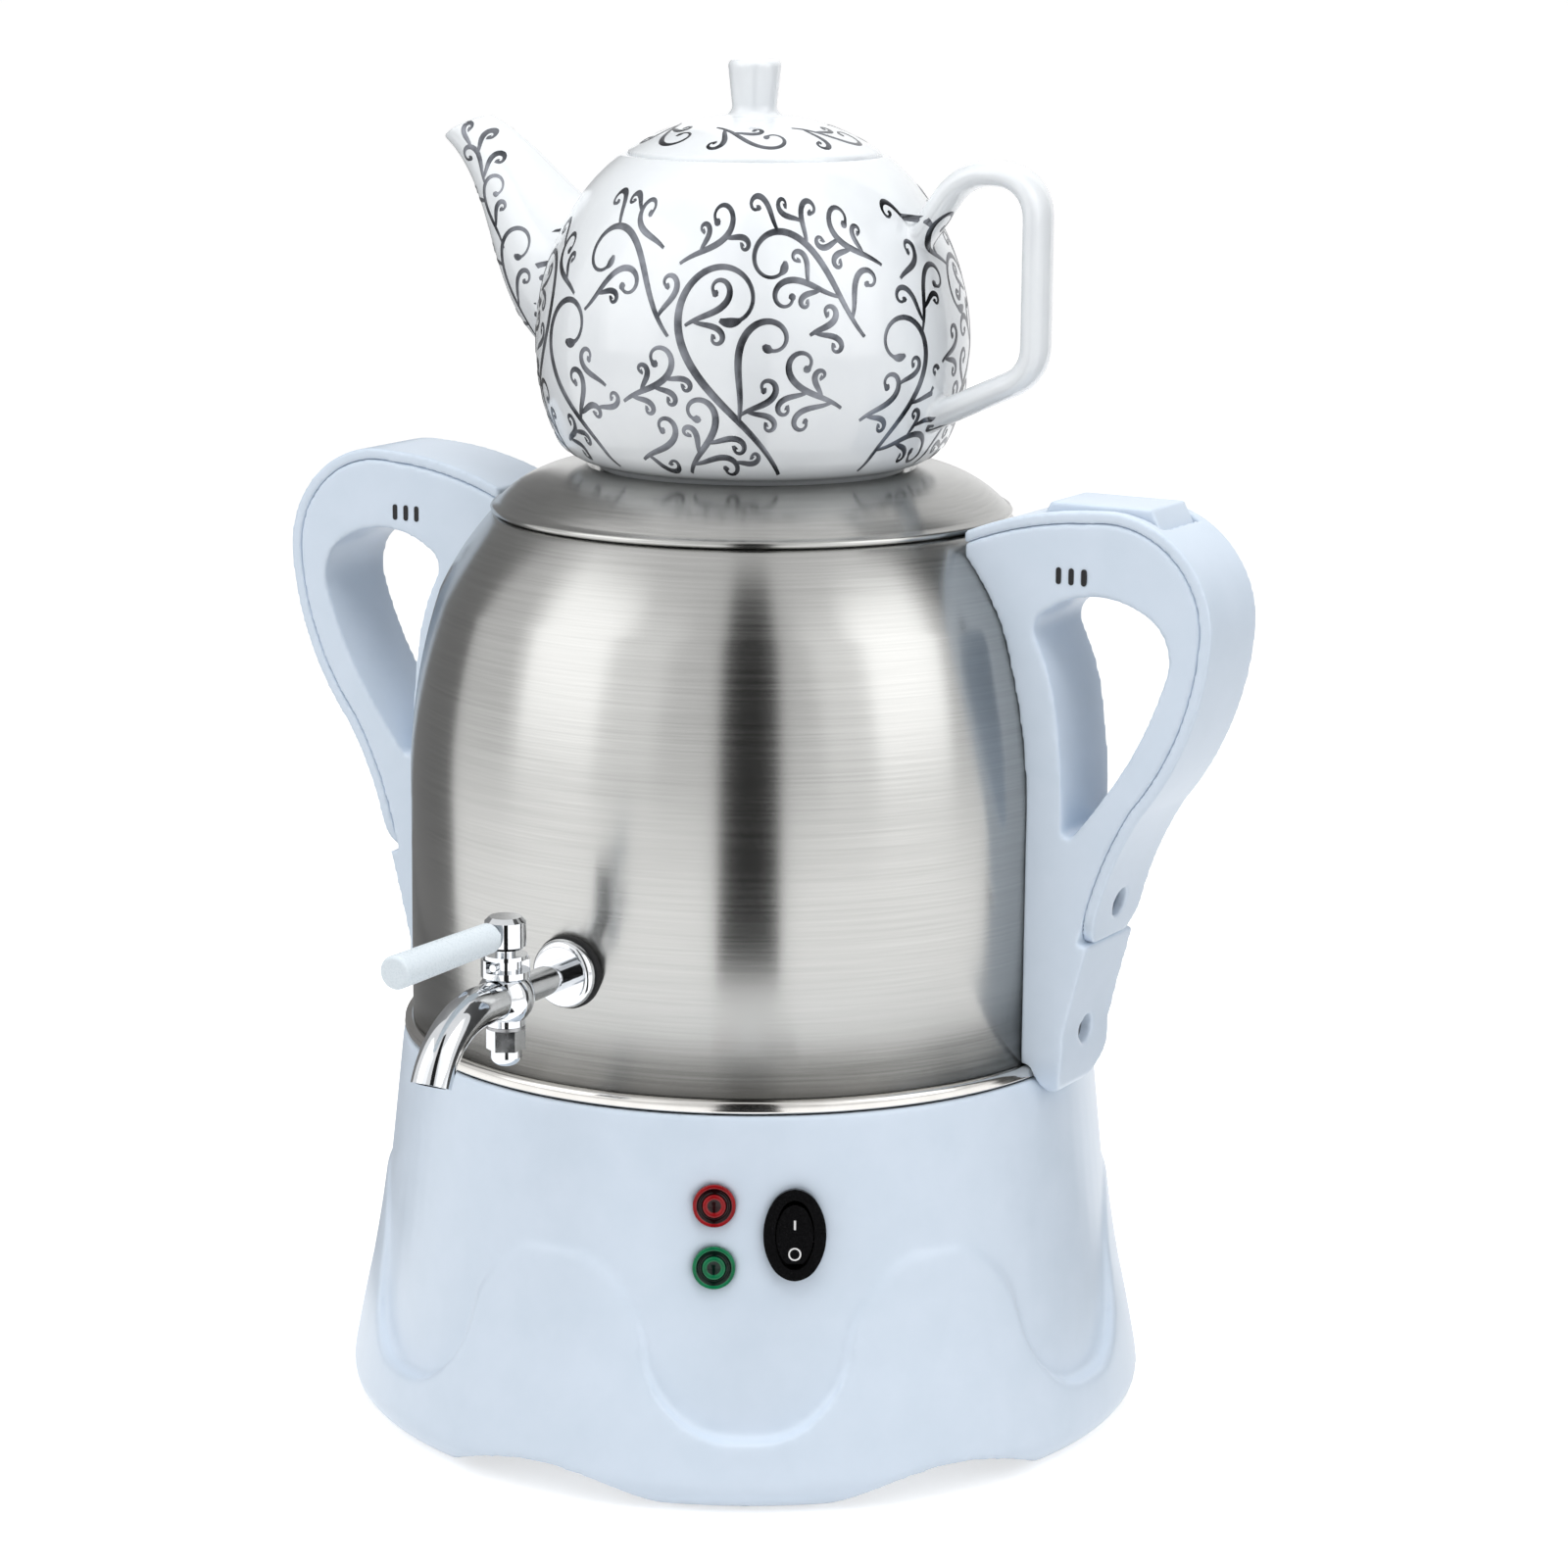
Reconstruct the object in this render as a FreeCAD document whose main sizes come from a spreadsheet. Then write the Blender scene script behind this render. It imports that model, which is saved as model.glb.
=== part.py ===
import FreeCAD, Part
import math
import os
import Sketcher

# Electric samovar: a plastic heating base, a steel tank with a tap, two handles, a lid and a porcelain teapot.
# Millimetres, +Z up. A size written as a formula follows the sizes that it names. The origin is on the table at the middle of the footprint, and the tank's own
# upright axis stands axis_setback behind it. Angles about that axis are counted from the front.

SIZES = {
    # whole
    "axis_setback": 20.9,
    "foot_lift": 1.0,
    "fit_gap": 0.3,
    "turn_gap": 0.05,
    # base shell
    "base_rim_radius": "=tank_radius + 2.5",
    "base_rim_height": 106.3,
    "cone_foot_radius": "=tank_radius + 11.2",
    "cone_foot_height": 22.0,
    "skirt_top_radius": "=tank_radius + 7.6",
    "skirt_mid_radius": "=tank_radius + 12",
    "skirt_mid_height": 38.0,
    "skirt_max_radius": "=tank_radius + 17.8",
    "skirt_max_height": 9.0,
    "toe_radius": "=tank_radius + 10",
    "toe_inner_radius": "=tank_radius - 3",
    "skirt_layer": 6.2,
    "base_wall": 2.6,
    "wave_peak_height": 66.0,
    "wave_valley_height": 20.0,
    "wave_valley_half": 8.5,
    "wave_peak_half": 7.0,
    "lobe_count": 6,
    "arch_height": 9.5,
    "arch_half": 33.0,
    "deck_height": 103.5,
    "deck_thickness": 2.5,
    "deck_hole_radius": "=tank_radius - 19",
    "ledge_height": 14.5,
    "ledge_width": 12.0,
    "boss_circle": "=tank_radius + 5",
    "boss_radius": 4.5,
    "boss_rise": 14.0,
    # bottom cover, feet and screws
    "cover_radius": "=tank_radius + 9.5",
    "cover_thickness": 2.5,
    "vent_width": 3.0,
    "vent_length": 22.0,
    "vent_circle": 60.0,
    "vent_count": 12,
    "foot_circle": "=tank_radius + 3",
    "foot_radius": 5.5,
    "foot_stem_radius": 2.0,
    "foot_head_radius": 3.4,
    "screw_radius": 1.5,
    "screw_head_radius": 2.9,
    "screw_head_height": 1.8,
    # tank
    "tank_radius": 95.0,
    "tank_wall": 0.8,
    "tank_foot_height": 105.0,
    "tank_straight_top": "=bell_top_height - 80.6",
    "bell_a_radius": "=tank_radius - 1.4",
    "bell_a_height": "=bell_top_height - 52.6",
    "bell_b_radius": "=tank_radius - 8.4",
    "bell_b_height": "=bell_top_height - 22.1",
    "bell_c_radius": "=tank_radius - 15.1",
    "bell_c_height": "=bell_top_height - 10.1",
    "bell_top_radius": "=tank_radius - 23.5",
    "bell_top_height": 252.6,
    "neck_radius": "=bell_top_radius - 5.5",
    "neck_depth": 7.0,
    "floor_height": 112.0,
    "ring_height": 3.7,
    "ring_proud": 2.3,
    "seal_thickness": 1.5,
    # heater
    "plate_radius": 64.0,
    "plate_thickness": 3.0,
    "element_circle": 50.0,
    "element_radius": 3.3,
    "terminal_drop": 16.0,
    "thermostat_radius": 9.0,
    "thermostat_height": 9.0,
    "fuse_radius": 2.0,
    "fuse_length": 12.0,
    "fuse_place": 26.0,
    "stud_circle": "=tank_radius - 9",
    "stud_radius": 2.0,
    "stud_length": 16.0,
    "nut_radius": 4.0,
    "nut_height": 3.2,
    # lid
    "lid_radius": "=bell_top_radius + 0.5",
    "lid_rim_height": "=bell_top_height + 0.3",
    "lid_rim_bead": 1.6,
    "lid_seat_radius": 45.5,
    "lid_seat_height": "=lid_rim_height + 13.1",
    "lid_mid_radius": "=lid_radius - 12",
    "lid_mid_height": "=lid_rim_height + 10.3",
    "lid_wall": 0.8,
    "lid_dish_depth": 1.6,
    "steam_hole_radius": 9.0,
    "lid_skirt_radius": "=neck_radius - 2.4",
    "lid_skirt_depth": 11.0,
    "lid_seal_height": 3.0,
    # teapot
    "pot_foot_radius": 42.6,
    "pot_foot_height": 2.2,
    "pot_wall": 4.0,
    "pot_low_radius": 53.5,
    "pot_low_height": 7.5,
    "pot_belly_radius": 59.7,
    "pot_belly_height": 31.0,
    "pot_upper_radius": 57.2,
    "pot_upper_height": 54.0,
    "pot_shoulder_radius": 49.5,
    "pot_shoulder_height": 71.5,
    "pot_mouth_radius": 36.0,
    "pot_mouth_height": 86.5,
    "pot_collar": 1.8,
    "pot_lid_rise": 11.0,
    "pot_lid_flange": 9.0,
    "knob_neck_radius": 6.1,
    "knob_top_radius": 7.3,
    "knob_height": 14.4,
    "steam_vent_radius": 1.2,
    "spout_root_reach": 47.0,
    "spout_root_height": 47.5,
    "spout_root_radius": 24.5,
    "spout_mid_reach": 66.0,
    "spout_mid_height": 58.5,
    "spout_mid_radius": 17.0,
    "spout_neck_reach": 78.5,
    "spout_neck_height": 76.0,
    "spout_neck_radius": 11.0,
    "spout_tip_reach": 93.6,
    "spout_tip_height": 90.6,
    "spout_tip_radius": 7.6,
    "spout_wall": 2.8,
    "pot_handle_top": 88.0,
    "pot_handle_low": 20.5,
    "pot_handle_reach": 90.5,
    "pot_handle_corner": 11.0,
    "pot_handle_knee": 16.0,
    "pot_handle_width": 12.5,
    "pot_handle_thickness": 7.2,
    # side handles
    "handle_turn": 60.0,
    "handle_width": 30.0,
    "handle_round": 2.6,
    "cover_depth": 3.2,
    "hole_round": 2.2,
    "handle_top_height": "=bell_top_height + 10.4",
    "handle_reach": "=tank_radius + 51.5",
    "handle_waist_reach": "=tank_radius + 19.5",
    "handle_waist_height": 151.0,
    "handle_foot_reach": "=tank_radius + 10.5",
    "handle_foot_height": 102.0,
    "cover_tongue_height": 145.5,
    "handle_screw_low": 119.0,
    "handle_screw_high": 155.5,
    "handle_screw_radius": 2.2,
    "handle_screw_head": 3.6,
    "slot_width": 1.3,
    "slot_length": 4.3,
    "slot_depth": 3.0,
    "slot_reach": "=tank_radius + 11",
    "slot_pitch": 3.7,
    "slot_height": "=handle_top_height - 17.7",
    "strap_thickness": 1.5,
    "strap_width": 16.0,
    # boil button
    "button_start": "=tank_radius - 1",
    "button_length": 36.0,
    "button_width": 21.0,
    "button_rise": 5.0,
    "button_slope": 3.4,
    "button_depth": 5.0,
    "button_surface": "=handle_top_height - 3.7",
    "button_pin_radius": 1.2,
    "switch_body_length": 28.0,
    "switch_body_height": 9.0,
    # tap
    "tap_turn": -30.0,
    "tap_height": 141.3,
    "tap_axis_reach": "=tank_radius + 30.5",
    "flange_radius": 9.3,
    "flange_depth": 3.2,
    "tap_seal_depth": 1.2,
    "stem_radius": 4.0,
    "stem_bore": 2.6,
    "ball_radius": 7.6,
    "pipe_radius": 5.3,
    "pipe_bore": 3.9,
    "pipe_bend": 24.0,
    "pipe_bend_angle": 68.0,
    "pipe_start": 12.0,
    "pipe_drop": 0.8,
    "plug_radius": 4.2,
    "collar_radius": 6.4,
    "collar_height": 4.6,
    "collar_slot": 3.0,
    "neck_spindle_radius": 2.6,
    "lever_head_radius": 5.4,
    "lever_head_height": 8.4,
    "lever_height": 158.5,
    "grip_radius": 4.4,
    "grip_end_radius": 4.0,
    "grip_start": 7.5,
    "grip_length": 43.0,
    "tang_radius": 2.0,
    "hub_wall": 0.9,
    "washer_gap": 0.1,
    "washer_depth": 0.8,
    "plug_nut_radius": 5.1,
    "plug_nut_height": 5.6,
    "plug_cap_radius": 4.2,
    "plug_cap_height": 4.4,
    "lock_nut_radius": 8.5,
    "lock_nut_height": 5.0,
    # control panel
    "lamp_offset": -8.6,
    "red_lamp_height": 82.5,
    "green_lamp_height": 66.0,
    "lamp_radius": 5.7,
    "lamp_body_radius": 4.6,
    "lamp_body_depth": 14.0,
    "lamp_rim": 1.3,
    "rocker_offset": 12.7,
    "rocker_height": 75.0,
    "bezel_half_width": 8.3,
    "bezel_half_height": 12.3,
    "bezel_depth": 1.8,
    "switch_half_width": 6.4,
    "switch_half_height": 10.5,
    "switch_depth": 16.0,
    "rocker_half_width": 4.9,
    "rocker_half_height": 8.0,
    "rocker_pin_depth": 3.0,
    "rocker_throw": 14.0,
    # mains inlet
    "inlet_height": 48.0,
    "inlet_half_width": 14.0,
    "inlet_half_height": 10.0,
    "inlet_flange": 4.5,
    "inlet_flange_depth": 2.0,
    "inlet_depth": 22.0,
    "inlet_wall": 2.0,
    "inlet_pad_reach": "=tank_radius + 12.5",
    "pin_width": 4.0,
    "pin_thickness": 2.0,
    "pin_length": 12.0,
    "pin_pitch": 8.0,
    # internal leads
    "lead_radius": 1.1,
    "lead_bend": 9.0,
}

doc = FreeCAD.newDocument("samovar")
sheet = doc.addObject("Spreadsheet::Sheet", "Sizes")
for row, alias in enumerate(SIZES, start=1):
    sheet.set(f"A{row}", alias)
    sheet.setAlias(f"B{row}", alias)
for row, number in enumerate(SIZES.values(), start=1):
    sheet.set(f"B{row}", str(number))
doc.recompute()


class Size:
    """A number with the sheet expression that gives it."""

    def __init__(self, value, text):
        self.value = float(value)
        self.text = text

    def __add__(self, other):
        other = as_size(other)
        return Size(self.value + other.value, f"({self.text} + {other.text})")

    def __sub__(self, other):
        other = as_size(other)
        return Size(self.value - other.value, f"({self.text} - {other.text})")

    def __mul__(self, other):
        other = as_size(other)
        return Size(self.value * other.value, f"({self.text} * {other.text})")

    def __truediv__(self, other):
        other = as_size(other)
        return Size(self.value / other.value, f"({self.text} / {other.text})")

    def __neg__(self):
        return Size(-self.value, f"(0 - {self.text})")

    __radd__ = __add__
    __rmul__ = __mul__

    def __rtruediv__(self, other):
        return as_size(other) / self

    def __rsub__(self, other):
        return as_size(other) - self


def as_size(number):
    if isinstance(number, Size):
        return number
    return Size(number, repr(float(number)))


def cosine(angle):
    angle = as_size(angle)
    return Size(math.cos(math.radians(angle.value)), f"cos({angle.text} * 1 deg)")


def sine(angle):
    angle = as_size(angle)
    return Size(math.sin(math.radians(angle.value)), f"sin({angle.text} * 1 deg)")


def root(number):
    return Size(math.sqrt(number.value), f"sqrt({number.text})")


def arctangent(number):
    return Size(math.degrees(math.atan(number.value)), f"(atan({number.text}) / 1 deg)")


class Sheet:
    """Sizes by name, as in s.tank_radius."""

    def __getattr__(self, alias):
        return Size(float(sheet.get(alias)), f"Sizes.{alias}")


s = Sheet()
PARTS = []


# Helpers for sketches and features

def new_body(label, turn=None, out=None, height=None, panel=None, across=None):
    """A body about the tank's axis, turned to face `turn` degrees round from the front."""
    body = doc.addObject("PartDesign::Body", label)
    body.Label = label
    seat(body, turn, out, height, panel, across)
    PARTS.append(body)
    return body


def seat(part, turn=None, out=None, height=None, panel=None, across=None):
    """Places a part. +X of a turned part points outward, and it stands `out` from the tank's axis.

    A panel part sits on the sloping front wall at a height, with +Z square to the wall.
    """
    back = s.axis_setback
    if turn is not None:
        part.Placement.Rotation = FreeCAD.Rotation(FreeCAD.Vector(0, 0, 1), 1)
        part.setExpression(".Placement.Rotation.Angle", (as_size(turn) - 90.0).text)
    if out is not None:
        part.setExpression(".Placement.Base.x", (out * sine(turn)).text)
        back = back - out * cosine(turn)
    if panel is not None:
        part.Placement.Rotation = FreeCAD.Rotation(FreeCAD.Vector(1, 0, 0), 1)
        part.setExpression(".Placement.Rotation.Angle", (90.0 - wall_tilt).text)
        part.setExpression(".Placement.Base.x", as_size(across).text)
        back = back - cone_radius(panel)
        height = panel
    part.setExpression(".Placement.Base.y", back.text)
    if height is not None:
        part.setExpression(".Placement.Base.z", as_size(height).text)


def origin_part(body, role):
    return [f for f in body.Origin.OriginFeatures if f.Role == role][0]


def new_sketch(body, plane="XZ_Plane", lift=None, spin=None, shift=None, swing=None):
    """A sketch on one of the body's own planes, moved by lift along its normal.

    spin turns it about its own X axis, and swing about its own Y axis before the lift.
    """
    sketch = body.newObject("Sketcher::SketchObject", body.Label + "_sketch")
    sketch.AttachmentSupport = [(origin_part(body, plane), "")]
    sketch.MapMode = "FlatFace"
    if spin is not None:
        sketch.AttachmentOffset = FreeCAD.Placement(
            FreeCAD.Vector(0, 0, 0), FreeCAD.Rotation(FreeCAD.Vector(1, 0, 0), 1))
        sketch.setExpression(".AttachmentOffset.Rotation.Angle", as_size(spin).text)
    if swing is not None:
        sketch.AttachmentOffset = FreeCAD.Placement(
            FreeCAD.Vector(0, 0, 0), FreeCAD.Rotation(FreeCAD.Vector(0, 1, 0), 1))
        sketch.setExpression(".AttachmentOffset.Rotation.Angle", as_size(swing).text)
        sketch.setExpression(".AttachmentOffset.Base.x", (lift * sine(swing)).text)
        lift = lift * cosine(swing)
    if lift is not None:
        sketch.setExpression(".AttachmentOffset.Base.z", as_size(lift).text)
    if shift is not None:
        sketch.setExpression(".AttachmentOffset.Base.x", as_size(shift[0]).text)
        sketch.setExpression(".AttachmentOffset.Base.y", as_size(shift[1]).text)
    return sketch


def bind(sketch, constraint, size):
    index = sketch.addConstraint(constraint)
    sketch.setExpression(f"Constraints[{index}]", size.text)


def fix_point(sketch, geometry, which, x, y):
    bind(sketch, Sketcher.Constraint("DistanceX", -1, 1, geometry, which, x.value), x)
    bind(sketch, Sketcher.Constraint("DistanceY", -1, 1, geometry, which, y.value), y)


def vector(point):
    return FreeCAD.Vector(as_size(point[0]).value, as_size(point[1]).value, 0)


def add_run(sketch, start, point):
    """A line to a point with two numbers, or an arc to one with four, through its last two."""
    start = (as_size(start[0]), as_size(start[1]))
    end = (as_size(point[0]), as_size(point[1]))
    first, last = 1, 2
    if len(point) == 4:
        via = (as_size(point[2]), as_size(point[3]))
        ends = [vector(start), vector(end)]
        to_via = vector(via) - ends[0]
        if to_via.x * (ends[1] - ends[0]).y - to_via.y * (ends[1] - ends[0]).x < 0:
            ends.reverse()
            first, last = 2, 1
        geometry = sketch.addGeometry(Part.Arc(ends[0], vector(via), ends[1]))
        mark = sketch.addGeometry(Part.Point(vector(via)), True)
        fix_point(sketch, mark, 1, *via)
        sketch.addConstraint(Sketcher.Constraint("PointOnObject", mark, 1, geometry))
    else:
        geometry = sketch.addGeometry(Part.LineSegment(vector(start), vector(end)))
    fix_point(sketch, geometry, first, *start)
    fix_point(sketch, geometry, last, *end)


def outline(sketch, *points):
    """A closed outline. A point with four numbers is reached by an arc through its last two."""
    for i, point in enumerate(points):
        add_run(sketch, points[i - 1][:2], point)
    return sketch


def path_line(sketch, *points):
    """An open run of lines and arcs, in order, for a pipe to follow."""
    for start, point in zip(points, points[1:]):
        add_run(sketch, start[:2], point)
    return sketch


def bent_path(sketch, points, *radii):
    """Straight runs through the points, with a tangent arc at each inner point. The last radius repeats."""
    radii = list(radii) + [radii[-1]] * len(points)
    points = [(as_size(x), as_size(y)) for x, y in points]
    spots = [vector(point) for point in points]
    trims = [FreeCAD.Vector(spots[0])]
    arcs = []
    for before, corner, after, radius in zip(spots, spots[1:], spots[2:], radii):
        back_way = (before - corner).normalize()
        on_way = (after - corner).normalize()
        half = back_way.getAngle(on_way) / 2.0
        reach = radius.value / math.tan(half)
        middle = corner + (back_way + on_way).normalize() * (radius.value / math.sin(half) - radius.value)
        arcs.append((corner + back_way * reach, middle, corner + on_way * reach))
        trims += [arcs[-1][0], arcs[-1][2]]
    trims.append(spots[-1])
    lines = []
    for start, end in zip(trims[::2], trims[1::2]):
        lines.append(sketch.addGeometry(Part.LineSegment(start, end)))
    fix_point(sketch, lines[0], 1, *points[0])
    fix_point(sketch, lines[-1], 2, *points[-1])
    for number, (start, middle, end) in enumerate(arcs):
        first, last = 1, 2
        turn = (middle - start).cross(end - middle).z
        if turn < 0:
            start, end = end, start
            first, last = 2, 1
        arc = sketch.addGeometry(Part.Arc(start, middle, end))
        corner = sketch.addGeometry(Part.Point(spots[number + 1]), True)
        fix_point(sketch, corner, 1, *points[number + 1])
        for line in (lines[number], lines[number + 1]):
            sketch.addConstraint(Sketcher.Constraint("PointOnObject", corner, 1, line))
        sketch.addConstraint(Sketcher.Constraint("Tangent", lines[number], 2, arc, first))
        sketch.addConstraint(Sketcher.Constraint("Tangent", arc, last, lines[number + 1], 1))
        bind(sketch, Sketcher.Constraint("Radius", arc, radii[number].value), radii[number])
    return sketch


def circle(sketch, x, y, radius):
    x, y, radius = as_size(x), as_size(y), as_size(radius)
    geometry = sketch.addGeometry(Part.Circle(vector((x, y)), FreeCAD.Vector(0, 0, 1), radius.value))
    fix_point(sketch, geometry, 3, x, y)
    bind(sketch, Sketcher.Constraint("Radius", geometry, radius.value), radius)
    return sketch


def rectangle(sketch, x0, y0, x1, y1):
    return outline(sketch, (x0, y0), (x1, y0), (x1, y1), (x0, y1))


def oval(sketch, x, y, half_width, half_height):
    """An upright ellipse, as eight arcs through its own points."""
    x, y = as_size(x), as_size(y)
    points = []
    for step in range(1, 9):
        end = 45.0 * step
        middle = end - 22.5
        points.append((
            x + half_width * cosine(end), y + half_height * sine(end),
            x + half_width * cosine(middle), y + half_height * sine(middle),
        ))
    return outline(sketch, *points)


def stadium(sketch, x, y, half_width, half_height):
    """An upright oval: straight sides between two half circles."""
    x, y, half_width, half_height = (as_size(v) for v in (x, y, half_width, half_height))
    side = half_height - half_width
    return outline(
        sketch,
        (x + half_width, y - side, x, y - half_height),
        (x + half_width, y + side),
        (x - half_width, y + side, x, y + half_height),
        (x - half_width, y - side),
    )


def hexagon(sketch, x, y, radius):
    x, y = as_size(x), as_size(y)
    corners = [(x + radius * cosine(60.0 * k), y + radius * sine(60.0 * k)) for k in range(6)]
    return outline(sketch, *corners)


def finish_feature(body, feature):
    body.Tip = feature
    doc.recompute()
    return feature


def revolve(body, sketch, cut=False):
    kind = "PartDesign::Groove" if cut else "PartDesign::Revolution"
    feature = body.newObject(kind, body.Label + "_turned")
    feature.Profile = sketch
    feature.ReferenceAxis = (sketch, ["V_Axis"])
    feature.Angle = 360
    return finish_feature(body, feature)


def pad(body, sketch, length, both_sides=False, back=False, cut=False):
    """Extrudes a sketch along its normal. As a cut it goes against the normal unless `back` is set."""
    kind = "PartDesign::Pocket" if cut else "PartDesign::Pad"
    feature = body.newObject(kind, body.Label + ("_cut" if cut else "_pad"))
    feature.Profile = sketch
    feature.Type = 0
    feature.setExpression("Length", as_size(length).text)
    if both_sides:
        feature.Midplane = True
    feature.Reversed = back
    return finish_feature(body, feature)


def around(body, features, count):
    feature = body.newObject("PartDesign::PolarPattern", body.Label + "_round")
    feature.Originals = features
    feature.Axis = (origin_part(body, "Z_Axis"), [""])
    feature.Angle = 360
    feature.setExpression("Occurrences", count.text)
    return finish_feature(body, feature)


def round_edges(body, radius, wanted):
    """Rounds the edges of the body's last feature that the test picks."""
    base = body.Tip
    names = [f"Edge{i}" for i, edge in enumerate(base.Shape.Edges, start=1) if wanted(edge)]
    feature = body.newObject("PartDesign::Fillet", body.Label + "_rounded")
    feature.Base = (base, names)
    feature.setExpression("Radius", radius.text)
    return finish_feature(body, feature)


def sweep(body, profile, path, cut=False):
    kind = "PartDesign::SubtractivePipe" if cut else "PartDesign::AdditivePipe"
    feature = body.newObject(kind, body.Label + "_pipe")
    feature.Profile = profile
    feature.Spine = (path, [f"Edge{i}" for i in range(1, len(path.Shape.Edges) + 1)])
    return finish_feature(body, feature)


def loft(body, sections, cut=False):
    kind = "PartDesign::SubtractiveLoft" if cut else "PartDesign::AdditiveLoft"
    feature = body.newObject(kind, body.Label + "_loft")
    feature.Profile = sections[0]
    feature.Sections = sections[1:]
    return finish_feature(body, feature)


def level_edge(height):
    return lambda edge: all(abs(v.Point.z - height) < 1e-4 for v in edge.Vertexes)


# Sizes worked out from the driving ones

ring_bottom = s.base_rim_height
ring_top = s.base_rim_height + s.ring_height
wall_tilt = arctangent((s.cone_foot_radius - s.base_rim_radius) / (s.base_rim_height - s.cone_foot_height))


inlet_screw_place = s.inlet_half_width + s.inlet_flange / 2.0


def cone_radius(height):
    """Outer radius of the base's upper wall at a height."""
    share = (s.base_rim_height - height) / (s.base_rim_height - s.cone_foot_height)
    return s.base_rim_radius + (s.cone_foot_radius - s.base_rim_radius) * share


# Base shell: an upper cone, and a raised skirt whose top edge waves round it

def wave_window(sketch):
    """The space above the wave between two peaks, seen from the front. Peaks and valleys are rounded."""
    top = s.wave_peak_height + 12.0
    peak = s.skirt_top_radius * sine(180.0 / s.lobe_count) - s.wave_peak_half
    high = s.wave_peak_height
    valley = s.wave_valley_half
    low = s.wave_valley_height + 0.6
    run = peak - valley
    rise = high - low
    middle = valley + run * 0.53
    half_way = low + rise * 0.49
    lower = (valley + run * 0.37, low + rise * 0.185)
    upper = (valley + run * 0.68, low + rise * 0.80)
    return outline(
        sketch,
        (-peak, top),
        (-peak, high),
        (-middle, half_way, -upper[0], upper[1]),
        (-valley, low, -lower[0], lower[1]),
        (valley, low, 0.0, s.wave_valley_height),
        (middle, half_way, lower[0], lower[1]),
        (peak, high, upper[0], upper[1]),
        (peak, top),
    )


def make_base_shell():
    body = new_body("base_shell", turn=0.0)
    wall = s.base_wall
    layer = s.skirt_layer
    toe = s.foot_lift
    skirt = new_sketch(body)
    outline(
        skirt,
        (s.toe_radius, toe),
        (s.skirt_max_radius, s.skirt_max_height, s.skirt_max_radius - 1.9, toe + 2.9),
        (s.skirt_mid_radius, s.skirt_mid_height, s.skirt_mid_radius + 3.2, s.skirt_mid_height - 15.0),
        (s.skirt_top_radius, s.wave_peak_height, s.skirt_mid_radius - 2.4, s.skirt_mid_height + 13.6),
        (s.skirt_top_radius - layer, s.wave_peak_height),
        (s.skirt_mid_radius - layer, s.skirt_mid_height),
        (s.skirt_max_radius - layer, s.skirt_max_height + 1.0),
        (s.toe_radius, toe + s.base_wall),
        (s.toe_inner_radius, toe + s.base_wall),
        (s.toe_inner_radius, toe),
    )
    revolve(body, skirt)
    window = new_sketch(body, "YZ_Plane", lift=s.toe_radius - 20.0)
    wave_window(window)
    lobe = pad(body, window, 60.0, cut=True, back=True)
    around(body, [lobe], s.lobe_count)
    cone = new_sketch(body)
    tank_well = s.tank_radius + s.fit_gap
    deck_low = s.deck_height - s.deck_thickness
    low = s.ledge_height
    outline(
        cone,
        (cone_radius(low), low),
        (s.base_rim_radius, s.base_rim_height),
        (tank_well, s.base_rim_height),
        (tank_well, s.deck_height),
        (s.deck_hole_radius, s.deck_height),
        (s.deck_hole_radius, deck_low),
        (cone_radius(deck_low) - wall, deck_low),
        (cone_radius(low + wall) - wall, low + wall),
        (cone_radius(low) - s.ledge_width, low + wall),
        (cone_radius(low) - s.ledge_width, low),
    )
    revolve(body, cone)
    boss = new_sketch(body, "XY_Plane", lift=s.ledge_height)
    circle(boss, s.boss_circle, 0.0, s.boss_radius)
    post = pad(body, boss, s.boss_rise)
    pilot = new_sketch(body, "XY_Plane", lift=s.ledge_height - 1.0)
    circle(pilot, s.boss_circle, 0.0, s.screw_radius)
    drilled = pad(body, pilot, s.boss_rise - 2.0, cut=True, back=True)
    around(body, [post, drilled], s.lobe_count)
    half_lobe = 180.0 / s.lobe_count
    arch = new_sketch(body, "YZ_Plane", lift=s.toe_inner_radius - 12.0, swing=half_lobe)
    outline(
        arch,
        (-s.arch_half, -5.0),
        (s.arch_half, -5.0),
        (s.arch_half, s.foot_lift),
        (-s.arch_half, s.foot_lift, 0.0, s.arch_height),
    )
    arched = pad(body, arch, 60.0, cut=True, back=True)
    stem = new_sketch(body, "XY_Plane")
    circle(stem, s.foot_circle, 0.0, s.foot_stem_radius)
    hole = pad(body, stem, 8.0, cut=True, back=True)
    around(body, [arched, hole], s.lobe_count)
    for number in range(3):
        stud = new_sketch(body, "XY_Plane", lift=deck_low - 1.0)
        angle = 30.0 + 120.0 * number
        circle(stud, s.stud_circle * cosine(angle), s.stud_circle * sine(angle), s.stud_radius + s.fit_gap)
        pad(body, stud, s.deck_thickness + 2.0, cut=True, back=True)
    cut_panel(body)
    return body


def panel_sketch(body, height, across):
    """A sketch square to the sloping front wall, with its origin on the wall's outside."""
    sketch = new_sketch(body, "YZ_Plane", spin=-wall_tilt)
    sketch.setExpression(".AttachmentOffset.Base.x", across.text)
    sketch.setExpression(".AttachmentOffset.Base.y", height.text)
    sketch.setExpression(".AttachmentOffset.Base.z", cone_radius(height).text)
    return sketch


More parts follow.
